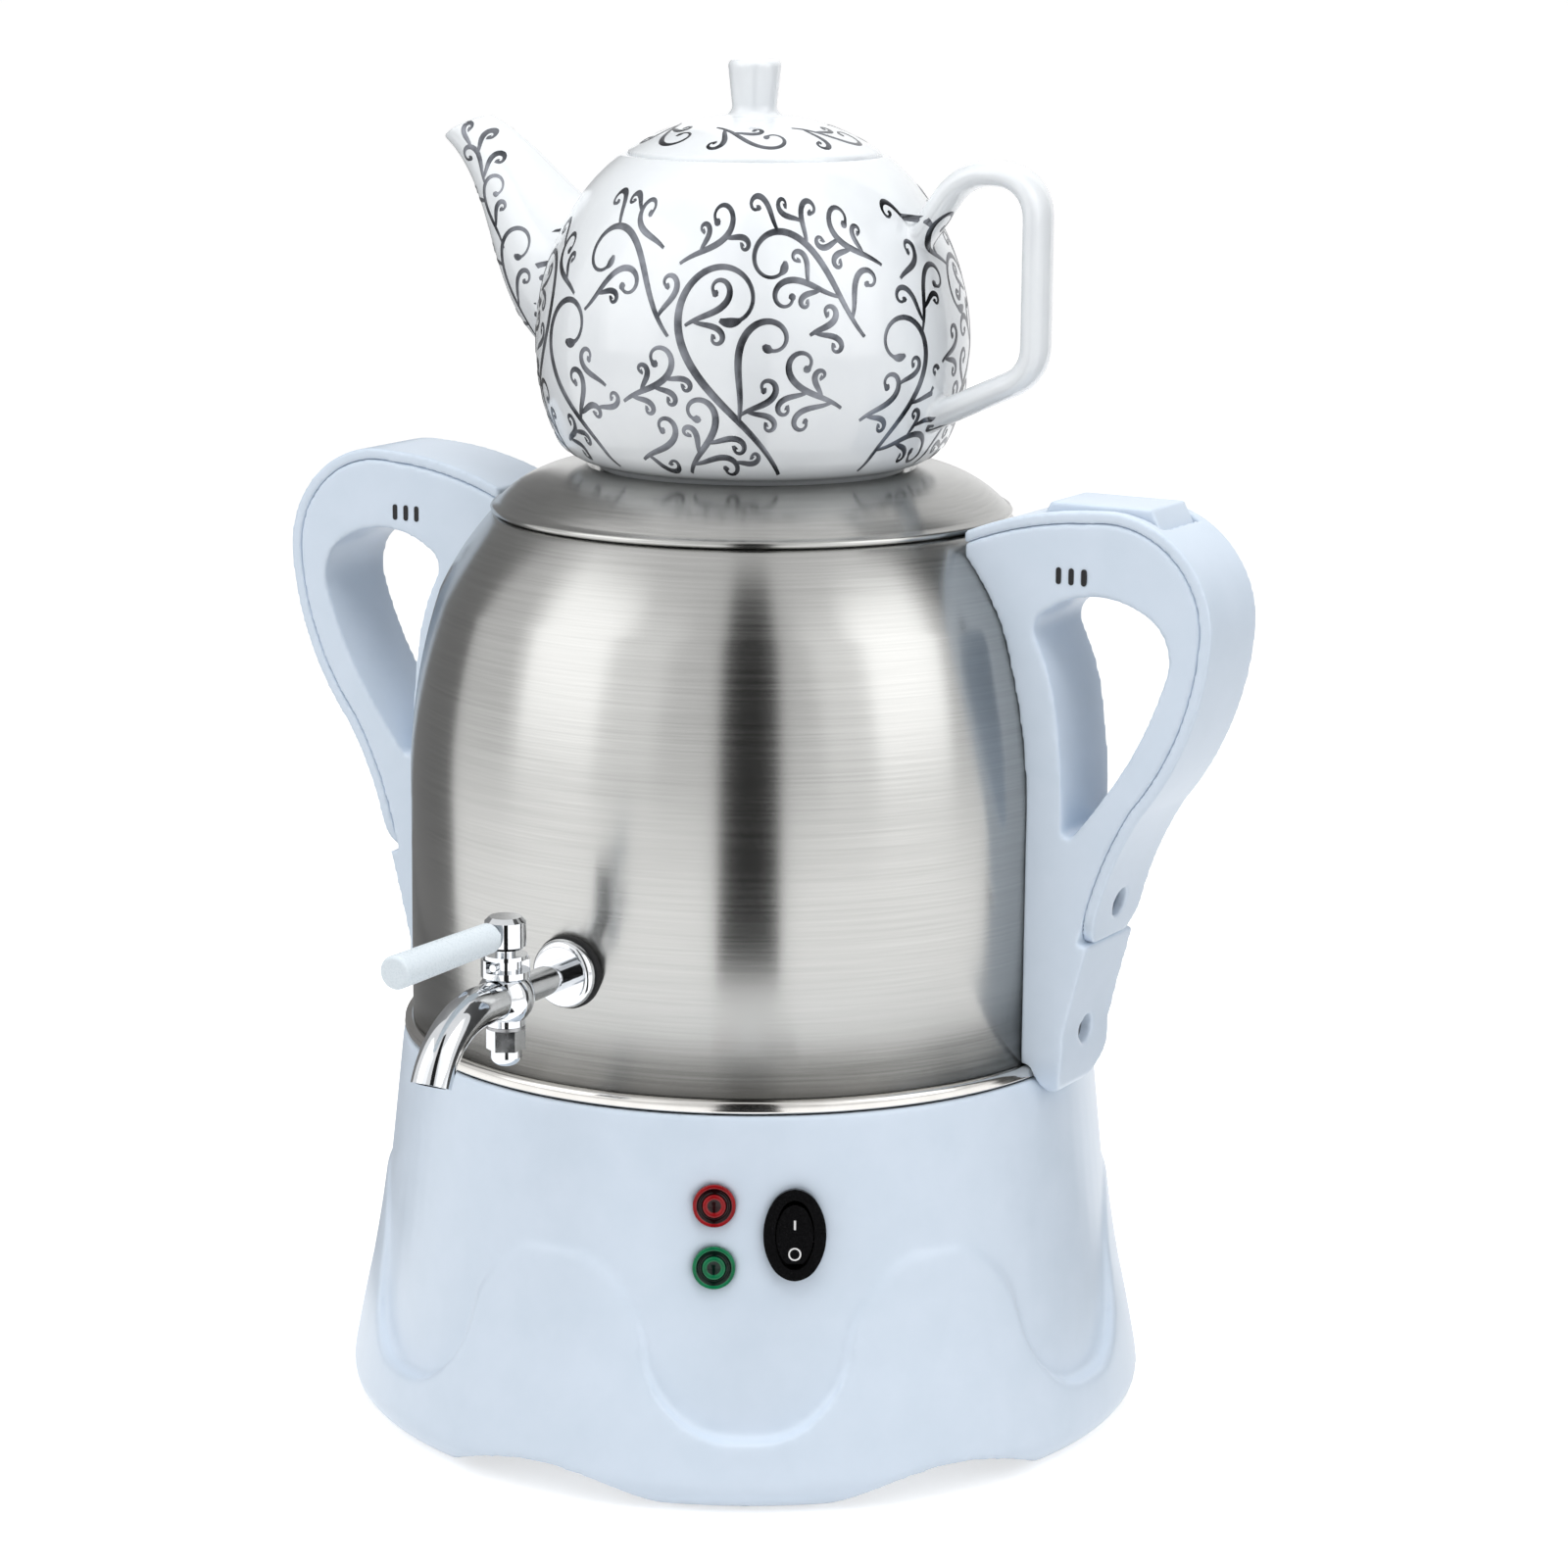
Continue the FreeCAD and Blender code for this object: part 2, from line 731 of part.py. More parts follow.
def cut_panel(body):
    """The lamp holes, the switch hole with a flat seat for its bezel, and the inlet's pad and hole."""
    for height in (s.red_lamp_height, s.green_lamp_height):
        hole = panel_sketch(body, height, s.lamp_offset)
        circle(hole, 0.0, 0.0, s.lamp_body_radius + s.fit_gap)
        pad(body, hole, 30.0, cut=True, both_sides=True)
        seat_cut = panel_sketch(body, height, s.lamp_offset)
        circle(seat_cut, 0.0, 0.0, s.lamp_radius + s.fit_gap)
        pad(body, seat_cut, 3.0, cut=True, back=True)
    hole = panel_sketch(body, s.rocker_height, s.rocker_offset)
    oval(hole, 0.0, 0.0, s.switch_half_width + s.fit_gap, s.switch_half_height + s.fit_gap)
    pad(body, hole, 30.0, cut=True, both_sides=True)
    seat_cut = panel_sketch(body, s.rocker_height, s.rocker_offset)
    oval(seat_cut, 0.0, 0.0, s.bezel_half_width + s.fit_gap, s.bezel_half_height + s.fit_gap)
    pad(body, seat_cut, 3.0, cut=True, back=True)
    pad_reach = s.inlet_pad_reach
    wide = s.inlet_half_width + s.inlet_flange + 1.0
    tall = s.inlet_half_height + s.inlet_flange + 1.0
    boss = new_sketch(body, "YZ_Plane", lift=-pad_reach)
    rectangle(boss, -wide, s.inlet_height - tall, wide, s.inlet_height + tall)
    pad(body, boss, 9.0)
    socket = new_sketch(body, "YZ_Plane", lift=-(pad_reach + 2.0))
    wide = s.inlet_half_width + s.fit_gap
    tall = s.inlet_half_height + s.fit_gap
    rectangle(socket, -wide, s.inlet_height - tall, wide, s.inlet_height + tall)
    pad(body, socket, 26.0, cut=True, back=True)
    for sign in (-1.0, 1.0):
        hole = new_sketch(body, "YZ_Plane", lift=-(pad_reach + 1.0))
        circle(hole, sign * inlet_screw_place, s.inlet_height, s.screw_radius - 0.3)
        pad(body, hole, 4.0, cut=True, back=True)


def make_bottom_cover():
    body = new_body("base_bottom_cover", turn=0.0)
    disc = new_sketch(body, "XY_Plane", lift=s.ledge_height - s.cover_thickness)
    circle(disc, 0.0, 0.0, s.cover_radius)
    pad(body, disc, s.cover_thickness)
    slot = new_sketch(body, "XY_Plane", lift=s.ledge_height - s.cover_thickness - 1.0)
    rectangle(slot, s.vent_circle - s.vent_length / 2.0, -s.vent_width / 2.0,
              s.vent_circle + s.vent_length / 2.0, s.vent_width / 2.0)
    vent = pad(body, slot, s.cover_thickness + 2.0, cut=True, back=True)
    around(body, [vent], s.vent_count)
    hole = new_sketch(body, "XY_Plane", lift=s.ledge_height - s.cover_thickness - 1.0)
    circle(hole, s.boss_circle, 0.0, s.screw_radius + s.fit_gap)
    drilled = pad(body, hole, s.cover_thickness + 2.0, cut=True, back=True)
    around(body, [drilled], s.lobe_count)


def turned_piece(label, rings, **place):
    """A solid of stacked discs about its own upright axis: (radius, from height, to height)."""
    body = new_body(label, **place)
    for radius, low, high in rings:
        disc = new_sketch(body, "XY_Plane", lift=low)
        circle(disc, 0.0, 0.0, radius)
        pad(body, disc, as_size(high) - as_size(low))
    return body


def ring_of_pieces(label, circle_radius, count, rings, turn=0.0, bore=None, six_sided=False):
    """Equal pieces in one node, set on a circle: stacked discs (radius, from height, to height)."""
    tools = []
    for number in range(count):
        angle = as_size(turn) + 360.0 / count * number
        across = circle_radius * sine(angle)
        out = circle_radius * cosine(angle)
        stack = []
        for radius, low, high in rings:
            kind = "Part::Prism" if six_sided else "Part::Cylinder"
            disc = doc.addObject(kind, label + "_disc")
            if six_sided:
                disc.Polygon = 6
                disc.setExpression("Circumradius", as_size(radius).text)
            else:
                disc.setExpression("Radius", as_size(radius).text)
            disc.setExpression("Height", (as_size(high) - as_size(low)).text)
            disc.setExpression(".Placement.Base.x", across.text)
            disc.setExpression(".Placement.Base.y", (-out).text)
            disc.setExpression(".Placement.Base.z", as_size(low).text)
            stack.append(disc)
        piece = stack[0]
        if len(stack) > 1:
            piece = doc.addObject("Part::MultiFuse", label + "_one")
            piece.Shapes = stack
        if bore is not None:
            tool = doc.addObject("Part::Cylinder", label + "_bore")
            tool.setExpression("Radius", as_size(bore).text)
            tool.setExpression("Height", (as_size(rings[-1][2]) - as_size(rings[0][1]) + 2.0).text)
            tool.setExpression(".Placement.Base.x", across.text)
            tool.setExpression(".Placement.Base.y", (-out).text)
            tool.setExpression(".Placement.Base.z", (as_size(rings[0][1]) - 1.0).text)
            cut = doc.addObject("Part::Cut", label + "_bored")
            cut.Base = piece
            cut.Tool = tool
            piece = cut
        tools.append(piece)
    group = doc.addObject("Part::Compound", label)
    group.Links = tools
    group.Label = label
    seat(group)
    PARTS.append(group)
    return group


# Tank

def bell(sketch_points, gap=0.0, low=None):
    """The tank's outside from a low edge up to the lid's seat, moved in or out by a gap."""
    low = s.tank_foot_height if low is None else low
    return [
        (s.tank_radius + gap, low),
        (s.tank_radius + gap, s.tank_straight_top),
        (s.bell_b_radius + gap, s.bell_b_height, s.bell_a_radius + gap, s.bell_a_height),
        (s.bell_top_radius + gap, s.bell_top_height, s.bell_c_radius + gap, s.bell_c_height),
    ]


def make_tank_shell():
    body = new_body("tank_shell", turn=s.tap_turn)
    wall = s.tank_wall
    shell = new_sketch(body)
    outline(
        shell,
        *bell(shell),
        (s.neck_radius, s.bell_top_height),
        (s.neck_radius, s.bell_top_height - s.neck_depth),
        (s.neck_radius + wall, s.bell_top_height - s.neck_depth),
        (s.neck_radius + wall, s.bell_top_height - wall),
        (s.bell_top_radius - wall, s.bell_top_height - wall),
        (s.bell_b_radius - wall, s.bell_b_height, s.bell_c_radius - wall, s.bell_c_height - wall / 2.0),
        (s.tank_radius - wall, s.tank_straight_top, s.bell_a_radius - wall, s.bell_a_height),
        (s.tank_radius - wall, s.tank_foot_height),
    )
    revolve(body, shell)
    hole = new_sketch(body, "YZ_Plane", lift=s.tank_radius - 10.0)
    circle(hole, 0.0, s.tap_height, s.stem_radius + s.fit_gap)
    pad(body, hole, 20.0, cut=True, back=True)


def make_tank_floor():
    body = new_body("tank_floor", turn=0.0)
    wall = s.tank_wall
    inner = s.tank_radius - wall
    dish = new_sketch(body)
    outline(
        dish,
        (0.0, s.floor_height - wall),
        (inner - wall, s.floor_height - wall),
        (inner - wall, s.tank_foot_height),
        (inner, s.tank_foot_height),
        (inner, s.floor_height),
        (0.0, s.floor_height),
    )
    revolve(body, dish)


def make_tank_ring():
    body = new_body("tank_ring", turn=0.0)
    bead = new_sketch(body)
    middle = ring_bottom + s.ring_height / 2.0
    out = s.tank_radius + s.ring_proud
    outline(
        bead,
        (s.tank_radius, ring_bottom),
        (out - 1.2, ring_bottom),
        (out - 1.2, ring_top, out, middle),
        (s.tank_radius, ring_top),
    )
    revolve(body, bead)


def make_tank_gasket():
    body = new_body("base_gasket", turn=0.0)
    seal = new_sketch(body)
    rectangle(seal, s.tank_radius - 4.0, s.deck_height, s.tank_radius, s.deck_height + s.seal_thickness)
    revolve(body, seal)


def make_heater():
    floor_low = s.floor_height - s.tank_wall
    plate_low = floor_low - s.plate_thickness
    turned_piece("heat_plate", [(s.plate_radius, plate_low, floor_low)])
    body = new_body("heating_element", turn=0.0)
    section = new_sketch(body)
    circle(section, s.element_circle, plate_low - s.element_radius, s.element_radius)
    feature = body.newObject("PartDesign::Revolution", "element_turned")
    feature.Profile = section
    feature.ReferenceAxis = (section, ["V_Axis"])
    feature.Angle = 330
    feature.Midplane = True
    finish_feature(body, feature)
    for sign in (-1.0, 1.0):
        leg = new_sketch(body, "XY_Plane", lift=plate_low - s.element_radius - s.terminal_drop)
        angle = 180.0 + 15.5 * sign
        circle(leg, s.element_circle * cosine(angle), s.element_circle * sine(angle), s.element_radius - 0.4)
        pad(body, leg, s.terminal_drop)
    thermostat_top = plate_low
    turned_piece("thermostat", [
        (s.thermostat_radius, thermostat_top - s.thermostat_height, thermostat_top),
        (s.thermostat_radius - 3.0, thermostat_top - s.thermostat_height - 4.0,
         thermostat_top - s.thermostat_height + 1.0),
    ])
    fuse = new_body("thermal_fuse", turn=0.0)
    round_bar = new_sketch(fuse, "YZ_Plane", lift=s.fuse_place)
    circle(round_bar, 0.0, plate_low - s.fuse_radius, s.fuse_radius)
    pad(fuse, round_bar, s.fuse_length)
    nut_top = s.deck_height - s.deck_thickness
    ring_of_pieces("tank_studs", s.stud_circle, 3,
                   [(s.stud_radius, floor_low - s.stud_length, floor_low)], turn=30.0)
    ring_of_pieces("tank_nuts", s.stud_circle, 3,
                   [(s.nut_radius, nut_top - s.nut_height, nut_top)], turn=30.0,
                   bore=s.stud_radius, six_sided=True)


# Lid

def make_lid():
    body = new_body("tank_lid", turn=0.0)
    wall = s.lid_wall
    low = s.lid_rim_height
    shell = new_sketch(body)
    outline(
        shell,
        (s.steam_hole_radius, s.lid_seat_height - s.lid_dish_depth),
        (s.lid_seat_radius - 2.0, s.lid_seat_height - s.lid_dish_depth),
        (s.lid_seat_radius, s.lid_seat_height),
        (s.lid_radius, low + s.lid_rim_bead, s.lid_mid_radius, s.lid_mid_height),
        (s.lid_radius - 0.2, low, s.lid_radius + 0.7, low + s.lid_rim_bead / 2.0),
        (s.lid_radius - 3.0, low),
        (s.lid_radius - 3.0, low + wall),
        (s.lid_seat_radius, s.lid_seat_height - wall, s.lid_mid_radius - 0.6, s.lid_mid_height - wall),
        (s.lid_seat_radius - 2.0, s.lid_seat_height - s.lid_dish_depth - wall),
        (s.steam_hole_radius, s.lid_seat_height - s.lid_dish_depth - wall),
    )
    revolve(body, shell)
    skirt = new_body("lid_inner_ring", turn=0.0)
    ring = new_sketch(skirt)
    top = low + wall
    outline(
        ring,
        (s.lid_skirt_radius, low - s.lid_skirt_depth),
        (s.lid_skirt_radius, low),
        (s.lid_radius - 3.0 - s.fit_gap, low),
        (s.lid_radius - 3.0 - s.fit_gap, top),
        (s.lid_skirt_radius - wall, top),
        (s.lid_skirt_radius - wall, low - s.lid_skirt_depth),
    )
    revolve(skirt, ring)
    seal = new_body("lid_seal", turn=0.0)
    band = new_sketch(seal)
    rectangle(band, s.lid_skirt_radius, low - s.lid_seal_height - 3.0,
              s.neck_radius - s.fit_gap, low - 3.0)
    revolve(seal, band)


# Teapot, standing on the lid's seat

pot_base = s.lid_seat_height - s.lid_dish_depth + s.fit_gap


def pot_outside(inset):
    """The pot's side from the foot to the mouth, in by an inset."""
    base = pot_base
    return [
        (s.pot_low_radius - inset, base + s.pot_low_height,
         s.pot_low_radius - 4.2 - inset, base + s.pot_low_height / 2.0 + 0.2),
        (s.pot_belly_radius - inset, base + s.pot_belly_height,
         s.pot_belly_radius - 1.3 - inset, base + s.pot_belly_height - 10.0),
        (s.pot_upper_radius - inset, base + s.pot_upper_height,
         s.pot_belly_radius - 0.3 - inset, base + s.pot_belly_height + 12.0),
        (s.pot_shoulder_radius - inset, base + s.pot_shoulder_height - inset * 0.4,
         s.pot_upper_radius - 3.3 - inset, base + s.pot_upper_height + 9.0 - inset * 0.2),
        (s.pot_mouth_radius, base + s.pot_mouth_height - inset * 0.8,
         s.pot_mouth_radius + 7.5 - inset * 0.5, base + s.pot_mouth_height - 6.8 - inset * 0.6),
    ]


def oval_section(body, reach, height, radius, slope, width_share=1.0):
    """A round section of the spout, square to its run. slope is the run's angle above level."""
    sketch = new_sketch(body, "YZ_Plane")
    sketch.AttachmentOffset = FreeCAD.Placement(
        FreeCAD.Vector(0, 0, 0), FreeCAD.Rotation(FreeCAD.Vector(1, 0, 0), 1))
    sketch.setExpression(".AttachmentOffset.Rotation.Angle", as_size(-slope).text)
    sketch.setExpression(".AttachmentOffset.Base.z", reach.text)
    sketch.setExpression(".AttachmentOffset.Base.y", height.text)
    circle(sketch, 0.0, 0.0, radius)
    return sketch


def spout_sections(body, wall):
    base = pot_base
    stations = [
        (s.spout_root_reach, s.spout_root_height, s.spout_root_radius, 28.0),
        (s.spout_mid_reach, s.spout_mid_height, s.spout_mid_radius, 42.0),
        (s.spout_neck_reach, s.spout_neck_height, s.spout_neck_radius, 52.0),
        (s.spout_tip_reach, s.spout_tip_height, s.spout_tip_radius, 64.0),
    ]
    return [oval_section(body, reach, base + height, radius - wall, slope)
            for reach, height, radius, slope in stations]


def make_teapot():
    body = new_body("teapot", turn=s.handle_turn - 180.0)
    base = pot_base
    solid = new_sketch(body)
    outline(
        solid,
        (0.0, base + 1.5),
        (s.pot_foot_radius - 4.0, base + 1.5),
        (s.pot_foot_radius - 3.0, base),
        (s.pot_foot_radius, base),
        (s.pot_foot_radius + 0.3, base + s.pot_foot_height),
        *pot_outside(as_size(0.0)),
        (0.0, base + s.pot_mouth_height),
    )
    revolve(body, solid)
    loft(body, spout_sections(body, as_size(0.0)))
    path = new_sketch(body)
    thick = s.pot_handle_thickness / 2.0
    top = base + s.pot_handle_top - thick
    out = s.pot_handle_reach - thick
    start = (-(s.pot_upper_radius - 7.2), base + s.pot_upper_height + 9.6)
    knee = (-(s.pot_upper_radius + 8.0), top)
    bent_path(path, [
        start,
        knee,
        (-out, top - 1.0),
        (-out, base + s.pot_handle_low + s.pot_handle_corner),
        (-(s.pot_belly_radius - 4.0), base + s.pot_handle_low - 3.0),
    ], s.pot_handle_knee, s.pot_handle_corner)
    lean = arctangent((knee[1] - start[1]) / (start[0] - knee[0]))
    section = new_sketch(body, "YZ_Plane", lift=start[0], shift=(0.0, start[1]), spin=lean)
    oval(section, 0.0, 0.0, s.pot_handle_width / 2.0, thick)
    sweep(body, section, path)
    wall = s.pot_wall
    hollow = new_sketch(body)
    mouth = s.pot_mouth_radius - wall
    outline(
        hollow,
        (0.0, base + 1.5 + wall),
        (s.pot_foot_radius - 2.0, base + 1.5 + wall),
        *pot_outside(wall),
        (mouth, base + s.pot_mouth_height - 2.0 * wall),
        (mouth, base + s.pot_mouth_height - s.pot_collar),
        (s.pot_mouth_radius - 1.0, base + s.pot_mouth_height - s.pot_collar),
        (s.pot_mouth_radius - 1.0, base + s.pot_mouth_height + 4.0),
        (0.0, base + s.pot_mouth_height + 4.0),
    )
    revolve(body, hollow, cut=True)
    loft(body, spout_sections(body, s.spout_wall), cut=True)
    return body



def make_teapot_lid():
    body = new_body("teapot_lid", turn=0.0)
    low = pot_base + s.pot_mouth_height
    rim = s.pot_mouth_radius - 1.0 - s.fit_gap
    neck = low + s.pot_lid_rise
    top = neck + s.knob_height
    flange = s.pot_mouth_radius - s.pot_wall - s.fit_gap
    solid = new_sketch(body)
    outline(
        solid,
        (0.0, low - s.pot_lid_flange),
        (flange - 3.0, low - s.pot_lid_flange),
        (flange, low - s.pot_lid_flange + 3.0),
        (flange, low - s.pot_collar),
        (rim, low - s.pot_collar),
        (rim, low + 0.6),
        (s.knob_neck_radius + 3.0, neck - 0.8, rim * 0.62, low + s.pot_lid_rise * 0.66),
        (s.knob_neck_radius, neck + 1.4, s.knob_neck_radius + 0.9, neck - 0.2),
        (s.knob_top_radius, top - 1.6),
        (s.knob_top_radius - 1.8, top, s.knob_top_radius - 0.5, top - 0.5),
        (0.0, top),
    )
    revolve(body, solid)
    hollow = new_sketch(body)
    outline(
        hollow,
        (0.0, low - s.pot_lid_flange - 1.0),
        (flange - 4.0, low - s.pot_lid_flange - 1.0),
        (flange - 4.0, low - 1.0),
        (3.0, low + s.pot_lid_rise - 6.5, rim * 0.5, low + s.pot_lid_rise * 0.4),
        (0.0, low + s.pot_lid_rise - 6.5),
    )
    revolve(body, hollow, cut=True)
    vent = new_sketch(body, "XY_Plane", lift=low - 2.0)
    circle(vent, 19.0, 0.0, s.steam_vent_radius)
    pad(body, vent, 30.0, cut=True, back=True)


def make_feet_and_screws():
    low = s.foot_lift
    ring_of_pieces("rubber_feet", s.foot_circle, 6, [
        (s.foot_radius, 0.0, low),
        (s.foot_stem_radius, low, low + s.base_wall),
        (s.foot_head_radius, low + s.base_wall, low + s.base_wall + 1.5),
    ])
    cover_low = s.ledge_height - s.cover_thickness
    ring_of_pieces("bottom_cover_screws", s.boss_circle, 6, [
        (s.screw_head_radius, cover_low - s.screw_head_height, cover_low),
        (s.screw_radius, cover_low, cover_low + s.boss_rise - 2.0),
    ], turn=0.0)


# Side handles. In a handle's own frame +X points outward from the tank's axis.

def handle_at(share):
    """A height between the handle's waist and its top."""
    return s.handle_waist_height + (s.handle_top_height - s.handle_waist_height) * share


def spine(inset):
    """The handle's outer curve from its top end down to the cover's tongue, in by an inset."""
    top = s.handle_top_height - inset
    reach = s.handle_reach - inset
    waist = s.handle_waist_reach - inset
    return [
        (s.tank_radius + 17.0, top, s.tank_radius - 3.0, top - 2.5),
        (reach, handle_at(0.7232), s.handle_reach - 8.3 - 0.7 * inset,
         handle_at(0.9152) - 0.7 * inset),
        (s.handle_waist_reach + 13.0 - 0.87 * inset, handle_at(0.2813) + 0.5 * inset,
         s.handle_reach - 5.0 - 0.93 * inset, handle_at(0.5045) + 0.3 * inset),
        (waist, s.handle_waist_height, s.handle_waist_reach + 5.0 - 0.95 * inset,
         handle_at(0.1429) + 0.2 * inset),
        (waist - 1.6, s.cover_tongue_height),
    ]


def handle_start(inset):
    return (s.lid_radius + 2.2, s.handle_top_height - 8.2 - inset)


def tank_space(sketch, gap):
    """What the handle stays outside of: base rim, trim ring and tank."""
    return outline(
        sketch,
        (0.0, 90.0),
        (cone_radius(as_size(90.0)) + gap, 90.0),
        (s.base_rim_radius + gap, s.base_rim_height),
        (s.tank_radius + s.ring_proud + gap, s.base_rim_height),
        (s.tank_radius + s.ring_proud + gap, ring_top + gap),
        (s.tank_radius, ring_top + gap),
        *bell(sketch)[1:],
        (0.0, s.bell_top_height),
    )


def make_handle(side, turn, with_button):
    body = new_body(side + "_handle_body", turn=turn)
    width = s.handle_width
    start = handle_start(s.cover_depth)
    tongue = s.cover_tongue_height
    foot = s.handle_foot_reach
    side_view = new_sketch(body)
    outline(
        side_view,
        (start[0], start[1] - 12.0),
        start,
        *spine(s.cover_depth),
        (s.handle_waist_reach - 1.6, tongue),
        (foot + 0.6, s.handle_screw_low, s.handle_waist_reach - 5.6, tongue - 15.0),
        (foot - 1.5, s.handle_foot_height + 3.5, foot + 0.2, s.handle_foot_height + 9.0),
        (foot - 6.5, s.handle_foot_height - 0.5, foot - 3.3, s.handle_foot_height + 0.6),
        (90.0, s.handle_foot_height - 0.5),
    )
    pad(body, side_view, width, both_sides=True)
    space = new_sketch(body)
    tank_space(space, s.fit_gap)
    revolve(body, space, cut=True)
    hole = new_sketch(body)
    finger_hole(hole)
    pad(body, hole, width + 2.0, cut=True, both_sides=True)
    for sign in (-1.0, 1.0):
        corner = new_sketch(body, "YZ_Plane", lift=80.0)
        low = s.handle_foot_height - 2.0
        edge = width / 2.0
        outline(
            corner,
            (sign * (edge + 1.0), low),
            (sign * (edge + 1.0), low + 16.0),
            (sign * edge, low + 16.0),
            (sign * 2.0, low, sign * (edge - 3.6), low + 4.9),
        )
        pad(body, corner, 40.0, cut=True, back=True)
    for sign in (-1.0, 1.0):
        for number in (-1.0, 0.0, 1.0):
            x = s.slot_reach + number * s.slot_pitch
            vent = new_sketch(body, "XZ_Plane", lift=sign * (width / 2.0 + 1.0))
            stadium(vent, x, s.slot_height, s.slot_width / 2.0, s.slot_length / 2.0)
            pad(body, vent, s.slot_depth + 1.0, cut=True, back=sign < 0)
    screw_holes(body)
    if with_button:
        button_space(body, s.button_surface - s.button_depth - 10.5)
    cover = new_body(side + "_handle_cover", turn=turn)
    strip = new_sketch(cover)
    outer = spine(as_size(0.0))
    inner = spine(s.cover_depth)
    outline(
        strip,
        (*start, *inner[0][2:]),
        handle_start(as_size(0.0)),
        *outer,
        inner[-1][:2],
        inner[-2][:2],
        (*inner[2][:2], *inner[3][2:]),
        (*inner[1][:2], *inner[2][2:]),
        (*inner[0][:2], *inner[1][2:]),
    )
    pad(cover, strip, width, both_sides=True)
    for sign in (-1.0, 1.0):
        corner = new_sketch(cover, "YZ_Plane", lift=100.0)
        edge = width / 2.0
        outline(
            corner,
            (sign * (edge + 1.0), tongue - 1.0),
            (sign * (edge + 1.0), tongue + 10.0),
            (sign * edge, tongue + 10.0),
            (sign * (edge - 9.0), tongue - 1.0, sign * (edge - 2.8), tongue + 2.2),
        )
        pad(cover, corner, 30.0, cut=True, back=True)
    screw = new_sketch(cover, "YZ_Plane", lift=100.0)
    circle(screw, 0.0, s.handle_screw_high, s.handle_screw_head + s.fit_gap)
    pad(cover, screw, 30.0, cut=True, back=True)
    if with_button:
        button_space(cover, s.button_surface - 8.0)
    handle_screws(side, turn)


def handle_screws(side, turn):
    """The two recessed screws of one handle: one through the cover's tongue, one through the foot."""
    pieces = []
    for height, face in (
        (s.handle_screw_low, s.handle_foot_reach - 2.4),
        (s.handle_screw_high, s.handle_waist_reach - s.cover_depth),
    ):
        for radius, start, length in (
            (s.handle_screw_head, face - 1.8, as_size(1.8)),
            (s.handle_screw_radius - 0.4, face - 7.2, as_size(5.4)),
        ):
            disc = doc.addObject("Part::Cylinder", side + "_screw_disc")
            disc.Placement.Rotation = FreeCAD.Rotation(FreeCAD.Vector(0, 1, 0), 90)
            disc.setExpression("Radius", radius.text)
            disc.setExpression("Height", length.text)
            disc.setExpression(".Placement.Base.x", start.text)
            disc.setExpression(".Placement.Base.z", height.text)
            pieces.append(disc)
    screws = []
    for head, shank in (pieces[:2], pieces[2:]):
        screw = doc.addObject("Part::Fuse", side + "_screw")
        screw.Base = head
        screw.Tool = shank
        screws.append(screw)
    group = doc.addObject("Part::Compound", side + "_handle_screws")
    group.Links = screws
    group.Label = side + "_handle_screws"
    seat(group, turn=turn)
    PARTS.append(group)


def finger_hole(sketch):
    tank = s.tank_radius
    return outline(
        sketch,
        (tank + 35.5, handle_at(0.7455), tank + 18.0, handle_at(0.7973)),
        (tank + 38.3, handle_at(0.6071), tank + 39.2, handle_at(0.6830)),
        (tank + 23.5, handle_at(0.3420), tank + 32.5, handle_at(0.4777)),
        (tank + 12.8, handle_at(0.2143), tank + 18.0, handle_at(0.2732)),
        (tank + 9.6, handle_at(0.2375), tank + 10.7, handle_at(0.2125)),
        (tank + 7.6, handle_at(0.4821), tank + 9.2, handle_at(0.3482)),
        (tank + 0.6, handle_at(0.6875), tank + 5.1, handle_at(0.5920)),
        (tank + 3.0, handle_at(0.7518), tank + 0.5, handle_at(0.7250)),
    )


def screw_holes(body):
    for height, face in (
        (s.handle_screw_low, s.handle_foot_reach - 2.4),
        (s.handle_screw_high, s.handle_waist_reach - s.cover_depth),
    ):
        recess = new_sketch(body, "YZ_Plane", lift=face - 1.8)
        circle(recess, 0.0, height, s.handle_screw_head + s.fit_gap)
        pad(body, recess, 20.0, cut=True, back=True)
        shank = new_sketch(body, "YZ_Plane", lift=face - 7.2)
        circle(shank, 0.0, height, s.handle_screw_radius - 0.4)
        pad(body, shank, 20.0, cut=True, back=True)


def button_space(body, floor):
    """The slot for the boil button, from a floor upward through the handle's top."""
    gap = s.fit_gap * 2.0
    slot = new_sketch(body, "XY_Plane", lift=floor)
    half = s.button_width / 2.0 + gap
    rectangle(slot, s.button_start - gap, -half, s.button_start + s.button_length + gap, half)
    pad(body, slot, 40.0, cut=True, back=True)


